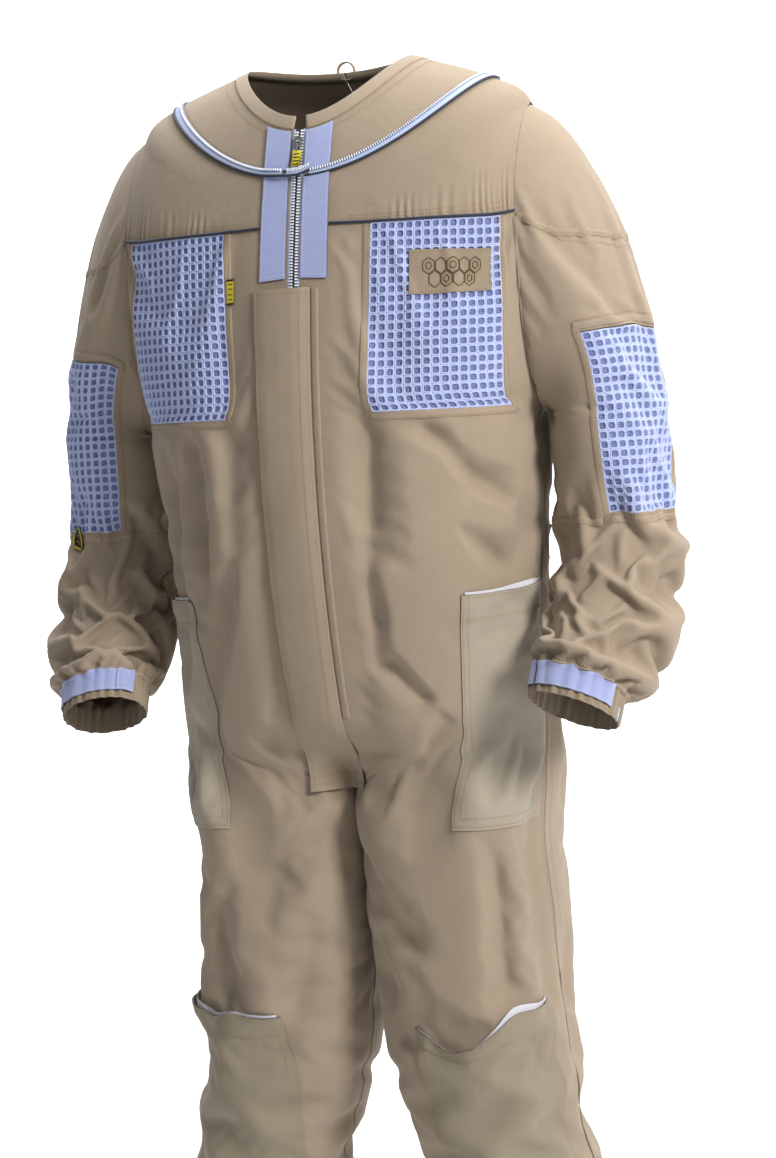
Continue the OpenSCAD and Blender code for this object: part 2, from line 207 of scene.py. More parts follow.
def torso(u, v):
    zf, zs, zb, n = cr(TOR, 1, v), cr(TOR, 2, v), cr(TOR, 3, v), cr(TOR, 6, v)
    c, s = np.cos(np.pi*u), np.sin(np.pi*u); fr = c >= 0
    return np.stack([np.minimum(tw(v, fr)*np.abs(s)**(2/n), AX), -dep(v, fr)*sg(c, 2/n), zs+(np.where(fr, zf, zb)-zs)*c*c], -1)
def leg(u, v):
    z, cx, cy, a, bf, bb, n = [cr(LEG, k, v) for k in range(1, 8)]
    c, s = np.cos(2*np.pi*u), np.sin(2*np.pi*u)
    return np.stack([cx-a*sg(c, 2/n), cy-np.where(s > 0, bf, bb)*sg(s, 2/n), z+0*c], -1)
def body(u, v):
    m = np.clip(v-9, 0, 1); m = (m*m*(3-2*m))[..., None]
    return (1-m)*torso(u, np.minimum(v, 10))+m*leg(u, np.maximum(v, 9))
def ux(x, v, fr):
    return np.arcsin(np.clip(np.clip(x/tw(v, fr), 0, 1)**(cr(TOR, 6, v)/2), 0, 1))/np.pi
def ua(v, fr): return np.where((v > 2) & (v < 5), ux(AX, v, fr), 0.5)
def panel(a, v):
    """half torso and leg: a 0 at the zip edge, 0.5 at the side, 1 at the centre back"""
    a, v = np.broadcast_arrays(np.asarray(a, float), np.asarray(v, float))
    m = np.clip(v-9, 0, 1); m = m*m*(3-2*m)
    u0 = ux(FX, np.minimum(v, 9), True)*(1-m)
    uf = u0+(ua(v, True)-u0)*2*a; ub = 1-(1-a)*2*ua(v, False)
    return body(np.where(a <= 0.5, uf, ub), v)
_vt = np.linspace(2, 5, 601); _zt = cr(TOR, 2, _vt)
def armhole(u):
    u = np.mod(u, 1.0); fr = (u <= 0.25) | (u > 0.75)
    s = np.where(u <= .25, (.25-u)*2, np.where(u > .75, (1.25-u)*2, (u-.25)*2))
    zs = -191+143*np.cos(np.pi*s); v = np.interp(-zs, -_zt, _vt)
    zf, zb, n = cr(TOR, 1, v), cr(TOR, 3, v), cr(TOR, 6, v)
    y = arm_y(zs, fr); c2 = (y/dep(v, fr))**n
    return np.stack([np.full_like(y, AX+0.3), np.where(fr, -y, y), zs+(np.where(fr, zf, zb)-zs)*c2], -1)
def armring(u, v):
    z, cx, cy, a, bf, bb = [cr(ARM, k, v) for k in range(1, 7)]
    c, s = np.cos(2*np.pi*u), np.sin(2*np.pi*u); p = 2/2.1
    dx, dy = a*sg(s, p), -np.where(c > 0, bf, bb)*sg(c, p)
    return np.stack([cx+dx, cy+dy, z-sst(v, 2.5, 5.5)*(.25*dx+.5*dy)], -1)
def sleeve(u, v):
    u, v = np.broadcast_arrays(np.asarray(u, float), np.asarray(v, float))
    A = armhole(u); R = armring(u, np.zeros_like(u)); s = np.clip(v+1, 0, 1)[..., None]; l = np.sin(2*np.pi*u)
    K1 = A+np.stack([26+30*l, 10*l, -10-4*l], -1); K2 = R+np.stack([2-2*l, 0*l, 62+70*l], -1)
    B = (1-s)**3*A+3*(1-s)**2*s*K1+3*(1-s)*s*s*K2+s**3*R
    return np.where(v[..., None] < 0, B, armring(u, np.maximum(v, 0)))

# ------------------------------------------------------------------ smooth seeded noise and cloth settling
def vnoise(shape, cell, seed, per=False):
    """smooth noise on a grid; cell is (rows, columns) per bump"""
    r = np.random.RandomState(seed); nr, nc = int(shape[0]/cell[0])+4, max(2, int(round(shape[1]/cell[1])))
    g = r.randn(nr, nc+(0 if per else 4))
    y = np.arange(shape[0])/cell[0]; x = np.arange(shape[1])*(nc/shape[1] if per else 1/cell[1])
    def ip(a, i, ax, wrap):
        k = np.floor(i).astype(int); f = i-k; out = 0
        w = [-.5*f+f*f-.5*f**3, 1-2.5*f*f+1.5*f**3, .5*f+2*f*f-1.5*f**3, -.5*f*f+.5*f**3]
        for j in range(4):
            kk = k+j-1
            kk = np.mod(kk, a.shape[ax]) if wrap else np.clip(kk, 0, a.shape[ax]-1)
            t = np.take(a, kk, axis=ax); sh = [1, 1]; sh[ax] = -1
            out = out+t*w[j].reshape(sh)
        return out
    return ip(ip(g, y, 0, False), x, 1, per)

def normals(X, closed, flip=1):
    if closed:
        du = np.roll(X, -1, 1)-np.roll(X, 1, 1)
    else:
        du = np.gradient(X, axis=1)
    dv = np.gradient(X, axis=0)
    n = np.cross(dv, du)*flip
    return n/np.maximum(np.linalg.norm(n, axis=-1, keepdims=True), 1e-9)

def settle(B, N, din, dout, free, gu, gv, closed, iters, X0, grav=0.02, tie=0.004, kb=0.15, damp=0.93, weld=None):
    """Lets cloth cut larger than its base surface buckle and hang between an inner and an outer limit."""
    X = X0.astype(np.float32).copy(); P = X.copy(); B = B.astype(np.float32); N = N.astype(np.float32)
    W = free.astype(np.float32)[..., None]
    ro = (lambda A, k: np.roll(A, -k, 1)) if closed else None
    eu = (np.roll(B, -1, 1)-B) if closed else (B[:, 1:]-B[:, :-1]); ev = B[1:]-B[:-1]
    EU = np.zeros_like(B); EU[:, :eu.shape[1]] = eu; EU *= gu[..., None].astype(np.float32)
    EV = np.zeros_like(B); EV[:ev.shape[0]] = ev; EV *= gv[..., None].astype(np.float32)
    nrm = lambda A: np.linalg.norm(A, axis=-1, keepdims=True)
    def sl(dj, di):
        nv, nu = B.shape[:2]
        a = slice(0, nv-dj); b = slice(dj, nv)
        if di >= 0: return (a, slice(0, nu-di)), (b, slice(di, nu))
        return (a, slice(-di, nu)), (b, slice(0, nu+di))
    fam = []
    for dj, di, k in ((0, 1, .9), (1, 0, .9), (1, 1, .35), (1, -1, .35), (0, 2, kb), (2, 0, kb)):
        E = di*EU+dj*EV if (di >= 0) else None
        if di < 0: E = np.roll(-EU, 1, 1)*1.0+EV
        fam.append((dj, di, k, nrm(E)))
    drag = np.zeros_like(X)
    for it in range(iters):
        V = (X-P)*damp; V[..., 2] -= grav; V = np.clip(V, -1.5, 1.5)
        P = X; X = X+V*W
        X = X+(tie*W)*(B-X-N*np.sum((B-X)*N, -1, keepdims=True))
        for dj, di, k, L in fam:
            if closed:
                Q = np.roll(X, -di, 1) if di else X
                WQ = np.roll(W, -di, 1) if di else W
                A, Bq, wa, wb, l0 = X[:X.shape[0]-dj], Q[dj:], W[:X.shape[0]-dj], WQ[dj:], L[:X.shape[0]-dj]
            else:
                s1, s2 = sl(dj, di)
                A, Bq, wa, wb, l0 = X[s1], X[s2], W[s1], W[s2], L[s1]
            D = Bq-A; l = np.maximum(nrm(D), 1e-6); C = (l-l0)
            if max(dj, abs(di)) == 2: C = np.minimum(C, 0)
            C = D*(C/l)*(k*0.5)
            ws = np.maximum(wa+wb, 1e-6)
            ca = C*(wa*2/ws)*0.62; cb = C*(wb*2/ws)*0.62
            if closed:
                Z = np.zeros_like(X); Z[:X.shape[0]-dj] += ca
                Y = np.zeros_like(X); Y[dj:] -= cb
                X = X+Z+(np.roll(Y, di, 1) if di else Y)
            else:
                X = X.copy(); X[s1] += ca; X[s2] -= cb
        d = np.sum((X-B)*N, -1); c = np.clip(d, -din, dout)
        X = X+((c-d)[..., None]*N).astype(np.float32)
        if weld is not None: weld(X)
    return X.astype(float)

class Grid:
    """a settled cloth surface sampled by its two coordinates"""
    def __init__(s, X, N, av, vv, closed, base):
        s.X, s.N, s.av, s.vv, s.closed, s.PV = X, N, av, vv, closed, None
        nu = X.shape[1]
        du = np.linalg.norm(np.diff(base, axis=1), axis=-1); dv = np.linalg.norm(np.diff(base, axis=0), axis=-1)
        s.cu = np.concatenate([np.zeros((base.shape[0], 1)), np.cumsum(du, 1)], 1)
        s.cu = s.cu-s.cu[:, nu//4:nu//4+1]
        s.cu = s.cu*0+np.median(s.cu, 0)[None]
        s.cv = np.concatenate([[0], np.cumsum(np.median(dv, 1))])[:, None]+0*s.cu
    def idx(s, a, v):
        a = np.asarray(a, float); v = np.asarray(v, float)
        if s.closed: a = np.mod(a, 1.0)
        nu = len(s.av)
        fa = np.interp(a, np.append(s.av, 1.0) if s.closed else s.av, np.arange(nu+1 if s.closed else nu))
        fv = np.interp(v, s.vv, np.arange(len(s.vv)))
        return fa, fv
    def samp(s, A, a, v):
        fa, fv = s.idx(a, v); nu = len(s.av)
        i = np.clip(np.floor(fa).astype(int), 0, nu-1 if s.closed else nu-2); j = np.clip(np.floor(fv).astype(int), 0, len(s.vv)-2)
        x = fa-i; y = fv-j; i2 = (i+1) % nu if s.closed else i+1
        e = (...,)+(None,)*(A.ndim-2); x, y = x[e], y[e]
        return (A[j, i]*(1-x)+A[j, i2]*x)*(1-y)+(A[j+1, i]*(1-x)+A[j+1, i2]*x)*y
    def at(s, a, v, off=0.):
        p = s.samp(s.X, a, v); n = s.nor(a, v)
        return p+n*np.asarray(off, float)[..., None] if np.ndim(off) else p+n*off
    def nor(s, a, v):
        n = s.samp(s.N, a, v); return n/np.maximum(np.linalg.norm(n, axis=-1, keepdims=True), 1e-9)
    def uv(s, a, v):
        return np.stack([s.samp(s.cu, a, v), s.samp(s.cv, a, v)], -1)
    def pv(s, a, v):
        """how far down the limb a point lies, which a shifted grid line doesn't tell"""
        return v if s.PV is None else s.samp(s.PV, a, v)

# ------------------------------------------------------------------ cut and settle the cloth
def upsample(D, av0, vv0, av1, vv1, closed):
    """smoothly carries a displacement field from a coarse grid to a fine one"""
    fa = np.interp(av1, np.append(av0, 1.0) if closed else av0, np.arange(len(av0)+(1 if closed else 0)))
    fv = np.interp(vv1, vv0, np.arange(len(vv0)))
    def ip(a, i, ax, wrap):
        k = np.floor(i).astype(int); f = i-k; out = 0
        w = [-.5*f+f*f-.5*f**3, 1-2.5*f*f+1.5*f**3, .5*f+2*f*f-1.5*f**3, -.5*f*f+.5*f**3]
        for j in range(4):
            kk = k+j-1; kk = np.mod(kk, a.shape[ax]) if wrap else np.clip(kk, 0, a.shape[ax]-1)
            sh = [1]*a.ndim; sh[ax] = -1; out = out+np.take(a, kk, axis=ax)*w[j].reshape(sh)
        return out
    return ip(ip(D, fv, 0, False), fa, 1, closed)

def rows(surf, a, lo, hi, step):
    v = np.linspace(lo, hi, 2000); p = surf(np.full_like(v, a), v)
    s = np.concatenate([[0], np.cumsum(np.linalg.norm(np.diff(p, axis=0), axis=1))])
    return np.interp(np.linspace(0, s[-1], int(s[-1]/step)+1), s, v)

def body_normals(X, av, vv):
    h = len(av)//2
    N = np.concatenate([normals(X[:, :h], False), normals(X[:, h:], False)], 1)
    o = (vv <= 2.0) | (vv >= 5.0)
    m = N[o, h-1]+N[o, h]; m /= np.linalg.norm(m, axis=-1, keepdims=True); N[o, h-1] = m; N[o, h] = m
    c = vv >= 9.98
    m = N[c, 0]+N[c, -1]; m /= np.linalg.norm(m, axis=-1, keepdims=True); N[c, 0] = m; N[c, -1] = m
    return N

def stroke(A, V, a0, v0, a1, v1, width, amp, sa=600., sv=85.):
    """one soft ridge (amp above 0) or valley from (a0, v0) to (a1, v1); width in mm"""
    x, y = A*sa, V*sv; x0, y0, x1, y1 = a0*sa, v0*sv, a1*sa, v1*sv
    dx, dy = x1-x0, y1-y0; L = math.hypot(dx, dy)
    t = ((x-x0)*dx+(y-y0)*dy)/(L*L); d = ((x-x0)*dy-(y-y0)*dx)/L
    bow = 1+0.35*np.sin(3.1*np.clip(t, 0, 1))
    e = np.clip(np.minimum(t, 1-t)*4+0.35, 0, 1); e = e*e*(3-2*e)
    return amp*e*np.exp(-(d/(width*bow))**2)

def ease(D, wrap, fix, thr, n=4):
    """rounds off pinches: a displacement that stands far out from its neighbours moves towards them"""
    D = D.copy()
    for _ in range(n):
        L = np.concatenate([D[:, -1:] if wrap is True else D[:, :1], D[:, :-1]], 1); R = np.concatenate([D[:, 1:], D[:, :1] if wrap is True else D[:, -1:]], 1)
        if wrap is not True and wrap is not None: L[wrap, 0] = D[wrap, -2]; R[wrap, -1] = D[wrap, 1]
        H_ = .25*L+.5*D+.25*R; S = H_.copy(); S[1:-1] = .25*H_[:-2]+.5*H_[1:-1]+.25*H_[2:]
        w = sst(np.linalg.norm(S-D, axis=-1), thr*.5, thr*1.4)*(1-fix); D = D+w[..., None]*(S-D)
    return D

def make_body(side):
    sd = 11 if side == "left" else 47
    out = None
    for lev, (nc, step, its) in enumerate(((30, 11., 320), (60, 5.5, 150))):
        av = np.concatenate([np.linspace(0, .5, nc+1), np.linspace(.5, 1, nc+1)])
        avb = av.copy(); avb[nc+1] = .5+1e-9
        vv = rows(panel, .25, 0., 18., step)
        A, V = np.meshgrid(avb, vv)
        B = panel(A, V); N = body_normals(B, av, vv)
        Z = B[..., 2]
        front = A <= .5
        # limits of how far the cloth may move in and out
        din = np.interp(V, [0, 1.15, 1.6, 3, 3.4, 5, 6, 9, 10, 12, 13, 14, 15.5, 16.6, 17.2, 18], [.2, .2, 1.2, 1.8, 4, 8, 15, 15, 18, 18, 14, 18, 18, 16, 4, 3])
        dout = np.interp(V, [0, 1.15, 1.6, 3, 3.4, 5, 6, 9, 10, 12, 13, 14, 15.5, 16.6, 17.2, 18], [.2, .2, 1.2, 1.6, 3, 5, 7, 6, 6, 7, 8, 7, 8, 11, 4, 3])
        xfront = np.where(front & (V < 9.4), np.abs(B[..., 0]), 999)
        calm = sst(xfront, 36, 75)
        din = .15+(din-.15)*calm; dout = .15+(dout-.15)*calm
        edge = np.where((V > 1.9) & (V < 5.1), np.minimum(np.abs(A-.5)*560/18, 1), 1.); 
        din = .2+(din-.2)*edge; dout = .2+(dout-.2)*edge
        bk = np.where((A > .5) & (V < 9.9), sst((1-A)*560, 0, 40), 1.); din = .2+(din-.2)*bk; dout = .2+(dout-.2)*bk
        free = np.ones_like(A)
        free[V < 1.15] = 0; free[-1] = 0
        free[(V > 2.0) & (V < 5.0) & (np.abs(A-.5) < 1e-6)] = 0
        free[(V < 9.95) & ((A < 1e-6) | (A > 1-1e-6))] = 0
        gu = 1+np.interp(V, [0, 1.2, 3, 3.1, 5, 5.2, 9, 10.5, 12, 13, 15, 16, 17, 18], [0, 0, .001, .003, .010, .016, .02, .022, .025, .025, .03, .04, .16, .2])
        gv = 1+np.interp(V, [0, 1.2, 3, 5, 6, 7, 8.5, 10, 12, 13, 14, 15, 16, 16.9, 17.2, 18], [0, 0, .0, .004, .008, .012, .010, .014, .022, .05, .05, .07, .12, .13, 0, 0])
        gu = np.where(A > .5, 1+(gu-1)*np.interp(V, [4.8, 5.6], [.3, 1]), gu)
        if lev == 0:
            sh = A.shape
            vert = vnoise(sh, (30, 4.2), sd); hor = vnoise(sh, (4.2, 16), sd+1); mix = vnoise(sh, (11, 9), sd+2)
            kv = np.interp(V, [0, 3, 6, 7, 10, 12, 13, 18], [.6, 1, 2.6, 2.2, 2.6, 2.6, 1.6, .6])
            kh = np.interp(V, [0, 3, 6, 6.5, 7.5, 9, 12.4, 13, 14, 15, 17, 18], [.3, .4, .8, 1.6, 1.4, .8, .8, 2.2, 1.6, 2, 3.4, .5])
            H = vert*kv*1.2+hor*kh*np.interp(V, [0, 5, 6, 10, 11.5, 12.5], [.8, .5, .3, .3, .5, .8])+mix*.45
            S = lambda *p: 1.35*stroke(A, V, *p); W = lambda *p: stroke(A, V, *p)
            if side == "left":
                H = H+S(.17, 5.4, .22, 8.6, 22, 7)+S(.29, 5.2, .33, 8.0, 18, -7)+S(.10, 5.6, .12, 8.8, 14, -3)
                H = H+S(.42, 6.0, .24, 7.2, 14, 6)+S(.46, 6.6, .28, 7.9, 14, -5)+S(.05, 9.6, .30, 9.0, 16, 6)+S(.06, 9.9, .34, 9.6, 15, -6)
                H = H+S(.20, 9.6, .25, 11.7, 22, 6)+S(.33, 9.8, .34, 11.8, 20, -6)+S(.05, 10.0, .12, 11.9, 20, -7)
                H = H+S(.02, 10.0, .26, 10.9, 14, 5)+S(.04, 10.5, .3, 11.4, 14, -4)+S(.18, 12.6, .45, 13.2, 12, 4)
                # hollow beside the flap, slanting ridges over the belly, pull from the mesh corner
                H = H+W(.085, 4.9, .11, 6.7, 16, -10)+W(.10, 6.5, .20, 7.7, 15, -10)+W(.12, 6.1, .24, 7.5, 15, 6)+W(.11, 8.2, .20, 8.8, 13, -7)+W(.18, 8.0, .24, 8.6, 14, 5)
                H = H+W(.24, 5.25, .36, 5.7, 10, -6)+W(.40, 5.5, .30, 6.9, 12, -6)+W(.36, 6.0, .28, 7.0, 13, 5)+W(.10, 9.6, .19, 8.7, 12, 5)
            else:
                H = H+S(.14, 5.5, .10, 8.9, 18, 8)+S(.24, 5.3, .20, 8.8, 18, -8)+S(.34, 5.6, .31, 9.1, 16, 7)+S(.43, 6.0, .40, 9.4, 14, -7)
                H = H+S(.06, 10.0, .28, 9.7, 14, 7)+S(.05, 10.4, .33, 10.6, 13, -7)+S(.16, 10.4, .2, 12.2, 24, 7)+S(.33, 10.4, .3, 12.1, 18, -8)
                H = H+W(.19, 5.2, .20, 7.5, 16, -10)+W(.20, 7.3, .27, 9.6, 18, -10)+W(.12, 6.9, .17, 9.2, 20, 6)+W(.08, 5.4, .09, 7.6, 12, -4)+W(.28, 5.3, .29, 7.2, 14, 5)
                H = H+S(.42, 10.4, .40, 12.3, 14, 7)+S(.05, 12.9, .45, 13.4, 10, 6)+S(.1, 13.4, .45, 13.0, 9, -6)+S(.25, 13.9, .5, 13.6, 9, 6)
            H = np.clip(H, -din, dout)*free
            # smooth meeting of the two half rows of the inseam
            k = V[:, 0] >= 9.95; H[k, 0] = H[k, -1] = (H[k, 0]+H[k, -1])/2
            X0 = B+N*H[..., None]
        else:
            X0 = B+upsample(*prev, av, vv, False)
            H = vnoise(A.shape, (9, 14), sd+5)*.25*free
            X0 = X0+N*H[..., None]
        cz = vv >= 9.95
        def weld(X, cz=cz, nc=nc, vv=vv):
            m = (X[cz, 0]+X[cz, -1])/2; X[cz, 0] = m; X[cz, -1] = m
            o = (vv <= 2.0) | (vv >= 5.0)
            m = (X[o, nc]+X[o, nc+1])/2; X[o, nc] = m; X[o, nc+1] = m
            X[..., 0] = np.maximum(X[..., 0], .3)
        its = its if not QUICK else its//8
        X = settle(B, N, din, dout, free, gu, gv, False, its, X0, grav=.012, tie=.004, kb=.42 if lev == 0 else .5, weld=weld)
        if lev == 1:
            D = np.delete(X-B, nc+1, 1); fix = 1-np.delete(free, nc+1, 1).astype(float); fix[(vv > 1.9) & (vv < 5.1), nc-1:nc+2] = 1
            D = ease(D, vv >= 9.95, fix, np.delete(np.interp(V, [3., 3.3], [.06, .75]), nc+1, 1), 6); X = B+np.concatenate([D[:, :nc+1], D[:, nc:nc+1], D[:, nc+1:]], 1)
        prev = (X-B, av, vv)
    # the large folds that the cloth hangs in over the belly and thighs
    W = lambda *p: stroke(A, V, *p)
    if side == "left":
        D = W(.078, 5.2, .078, 6.9, 13, -8)+W(.078, 6.8, .094, 7.8, 13, -9)+W(.092, 7.7, .075, 8.4, 11, -6)+W(.092, 7.1, .142, 7.8, 15, 6)+W(.138, 7.7, .168, 8.7, 15, 6)
        D = D+W(.095, 8.2, .165, 8.75, 11, -9)+W(.19, 5.5, .23, 7.4, 34, 4)+W(.17, 5.2, .28, 6.05, 10, -7)+W(.27, 6.0, .38, 6.4, 10, -7)+W(.23, 5.25, .41, 5.95, 12, 4)
        D = D+W(.24, 6.7, .37, 7.2, 9, -6)+W(.27, 6.4, .39, 6.75, 10, 5)+W(.06, 9.0, .15, 9.4, 13, 5)+W(.16, 9.3, .19, 8.9, 10, -4)
        D = D+W(.04, 10.1, .24, 11.2, 13, -6)+W(.02, 10.05, .3, 10.6, 12, 4)+W(.27, 10.6, .28, 11.8, 22, 5)+W(.36, 10.4, .35, 11.7, 16, -6)+W(.10, 11.0, .16, 12.4, 15, -5)
    else:
        D = W(.09, 5.1, .10, 7.0, 14, -9)+W(.10, 6.9, .24, 9.3, 15, -9)+W(.075, 5.5, .11, 7.8, 11, 5)+W(.11, 7.7, .17, 8.9, 13, 6)+W(.17, 5.2, .19, 7.3, 11, -7)
        D = D+W(.13, 5.3, .145, 7.2, 12, 5)+W(.26, 5.5, .31, 8.6, 14, -7)+W(.22, 5.3, .25, 7.6, 14, 5)+W(.06, 9.15, .13, 9.3, 9, -5)
        D = D+W(.05, 10.1, .30, 10.7, 12, -7)+W(.08, 10.6, .30, 11.3, 13, 5)+W(.16, 10.9, .2, 12.3, 16, -6)+W(.30, 10.5, .32, 11.8, 18, -6)+W(.40, 10.4, .41, 12.2, 13, 5)
    k = V[:, 0] >= 9.95; D[k, 0] = D[k, -1] = (D[k, 0]+D[k, -1])/2
    d = np.sum((X-B)*N, -1); X = X+((np.clip(d+1.45*D*free*np.minimum(calm*1.4, 1), -din, dout)-d)[..., None]*N)
    z = -X[..., 2]; w = sst(z, 660, 800)*(1-sst(z, 1030, 1180))
    X[..., 0] -= (14 if side == "left" else 22)*w*sst(X[..., 0], 70, 195)
    X[..., 0] = np.maximum(X[..., 0], .3)
    # grid lines along the chest mesh run upright
    kv_ = [2.3, 3., 3.5, 4., 4.5, 5.05, 6.6]; h = nc+1
    for j in range(len(vv)):
        if not 2.3 < vv[j] < 6.6: continue
        w_ = np.interp(av[:h], [0, .07, .122, .43, .5], [0, .07, np.interp(vv[j], kv_, [.122, .124, .116, .109, .102, .092, .122]), np.interp(vv[j], kv_, [.43, .455, .45, .435, .41, .365, .43]), .5])
        for Q in (X, B): Q[j, :h] = np.stack([np.interp(w_, av[:h], Q[j, :h, k]) for k in range(3)], -1)
    return Grid(X, body_normals(X, av, vv), av, vv, False, B)

MT = -.30        # top of the sleeve mesh

def make_sleeve(side):
    sd = 101 if side == "left" else 173
    for lev, (nc, step, its) in enumerate(((48, 9., 420), (96, 4.5, 180))):
        av = np.arange(nc)/nc; vv = rows(sleeve, .25, -1., 7., step)
        vv = np.unique(np.concatenate([vv, []])); A, V = np.meshgrid(av, vv)
        B = sleeve(A, V); N = normals(B, True)
        lat = np.sin(2*np.pi*A)
        din = np.interp(V, [-1, -.9, -.5, 0, 1, 1.4, 3, 5.2, 5.8, 6.1, 7], [.2, 2, 9, 10, 9, 14, 20, 20, 8, 2.5, 2.5])
        dout = np.interp(V, [-1, -.9, -.5, 0, 1, 1.4, 3, 5.2, 5.8, 6.1, 7], [.2, 2, 5, 5, 5, 9, 13, 14, 9, 2.5, 2.5])
        med = np.clip(-lat, 0, 1); dout = dout*(1-.75*med)
        free = np.ones_like(A); free[0] = 0; free[V > 6.02] = 0
        per = np.array([np.linalg.norm(np.roll(r, -1, 0)-r, axis=-1).sum() for r in B])
        pv = np.interp(5.0, vv, per)
        gu = 1+np.interp(V, [-1, 0, 1, 2, 4, 5], [.01, .015, .02, .03, .04, .05])
        gu = np.where(V > 5, np.minimum((pv*1.05/per)[:, None], 1.5), gu)
        gv = 1+np.interp(V, [-1, -.6, 0, .9, 1.9, 2.3, 3, 5, 5.6, 6, 7], [.01, .02, .02, .02, .03, .16, .26, .28, .2, .05, 0])
        if lev == 0:
            sh = A.shape
            H = vnoise(sh, (5.5, 20), sd, True)*np.interp(V, [-1, 0, 1, 2, 5, 6], [.5, 1.2, 1.6, 4, 6, 1])
            H = H+vnoise(sh, (9, 8), sd+1, True)*np.interp(V, [-1, 0, 5, 6], [1.2, 1.8, 1.4, 1])
            S = lambda *p: 1.25*stroke(A, V, *p, sa=400., sv=70.)
            if side == "left":
                H = H+S(-.02, .1, .2, -.75, 14, 5)+S(.02, .6, .2, -.3, 12, -5)+S(.9, 2.55, .3, 2.45, 8, 6)+S(.95, 2.75, .35, 2.7, 8, -6)+S(.0, 3.0, .4, 2.7, 10, 9)+S(-.05, 3.8, .35, 3.6, 9, -9)+S(.0, 4.6, .3, 4.4, 10, 9)
            else:
                H = H+S(-.02, .2, .22, -.5, 14, 5)+S(.0, .8, .2, .2, 11, -4)+S(-.1, 2.5, .35, 2.5, 8, 6)+S(-.1, 2.8, .3, 2.7, 8, -6)+S(-.1, 3.0, .35, 3.3, 10, 9)+S(-.1, 4.0, .3, 3.8, 9, -9)+S(.0, 4.8, .35, 4.6, 9, 9)
            H = np.clip(H, -din, dout)*free
            X0 = B+N*H[..., None]
        else:
            X0 = B+upsample(*prev, av, vv, True)
            X0 = X0+N*(vnoise(A.shape, (6, 9), sd+3, True)*.3*free)[..., None]
            # gathers where the cloth runs into the wrist band
            k = sst(V, 5.35, 6.0)*(1-.5*sst(V, 6.05, 6.4))
            ph = 2*np.pi*(19*A+.35*vnoise(A.shape, (40, 8), sd+4, True))
            X0 = X0+N*(k*1.9*np.cos(ph))[..., None]
        its = its if not QUICK else its//8
        def keep(X): X[..., 0] = np.maximum(X[..., 0], AX+.3)
        X = settle(B, N, din, dout, free, gu, gv, True, its, X0, grav=.03, tie=.003, kb=.38 if lev == 0 else .45, weld=keep)
        prev = (X-B, av, vv)
    # grid lines above the elbow follow the cut of the sleeve's mesh
    G0 = Grid(X, normals(X, True), av, vv, True, B); d_ = np.linspace(0, 1, 401)[:-1]
    t1 = np.interp(d_, [0, .04, .08, .12, .2, .25, .3, .4, .5, .6, .75, .80, .84, .88, .92, 1], [.6, .67, .71, .74, .775, .8, .79, .72, .66, .66, .70, .62, .46, .35, .34, .6])
    for _ in range(60): t1 = .5*t1+.25*(np.roll(t1, 1)+np.roll(t1, -1))
    t1 = np.interp(av, d_, t1); m = (vv > -1) & (vv < 0); A, V = np.meshgrid(av, vv)
    V1 = np.where(V < 0, np.clip(V+1, 1e-6, 1)**(np.log(t1)/math.log(1+MT))[None]-1, V)
    G1 = Grid(G0.samp(X, A, V1), G0.N, av, vv, True, G0.samp(B, A, V1)); G1.N = normals(G1.X, True); G1.PV = V1
    return G1

import time as _time
_t = _time.time()
GB = {s: make_body(s) for s in SIDES}
print("body settled", round(_time.time()-_t, 1)); _t = _time.time()
GS = {s: make_sleeve(s) for s in SIDES}
print("sleeves settled", round(_time.time()-_t, 1))

# ------------------------------------------------------------------ mesh making
def make(name, P, F, side="left", mat=None, N=None, uv=None, smooth=True, flip=False):
    """P in mm (left-hand form); F an (n, k) array or a list of them; the right side is mirrored"""
    P = np.asarray(P, float).reshape(-1, 3).copy()*.001
    Fs = F if isinstance(F, (list, tuple)) else [F]
    Fs = [np.asarray(f, int) for f in Fs if len(f)]
    mir = side == "right"
    if mir: P[:, 0] *= -1
    if mir != flip: Fs = [f[:, ::-1] for f in Fs]
    me = bpy.data.meshes.new(name)
    loops = np.concatenate([f.ravel() for f in Fs]); tot = np.concatenate([np.full(len(f), f.shape[1]) for f in Fs])
    me.vertices.add(len(P)); me.vertices.foreach_set("co", P.ravel())
    me.loops.add(len(loops)); me.loops.foreach_set("vertex_index", loops)
    st = np.concatenate([[0], np.cumsum(tot)[:-1]])
    me.polygons.add(len(tot)); me.polygons.foreach_set("loop_start", st)
    me.update(calc_edges=True)
    me.polygons.foreach_set("use_smooth", np.full(len(tot), smooth))
    if uv is not None:
        l = me.uv_layers.new(name="UVMap"); l.data.foreach_set("uv", (np.asarray(uv, float).reshape(-1, 2)*.01)[loops].ravel())
    me.validate(clean_customdata=False); me.update()
    if N is not None:
        N = np.asarray(N, float).reshape(-1, 3).copy()
        if mir: N[:, 0] *= -1
        me.normals_split_custom_set_from_vertices(N.tolist())
    o = bpy.data.objects.new(name, me); bpy.context.scene.collection.objects.link(o)
    if mat is not None: me.materials.append(mat)
    return o

def join_parts(parts):
    """[(P, F)] or [(P, F, uv)] to one"""
    Ps, Fq, Ft, U, n = [], [], [], [], 0
    for q in parts:
        P = np.asarray(q[0]).reshape(-1, 3)
        for f in (q[1] if isinstance(q[1], (list, tuple)) else [q[1]]):
            f = np.asarray(f)
            if len(f): (Fq if f.shape[1] == 4 else Ft).append(f+n)
        U.append(np.asarray(q[2]).reshape(-1, 2) if len(q) > 2 else P[:, [0, 2]])
        Ps.append(P); n += len(P)
    F = []
    if Fq: F.append(np.concatenate(Fq))
    if Ft: F.append(np.concatenate(Ft))
    return np.concatenate(Ps), F, np.concatenate(U)

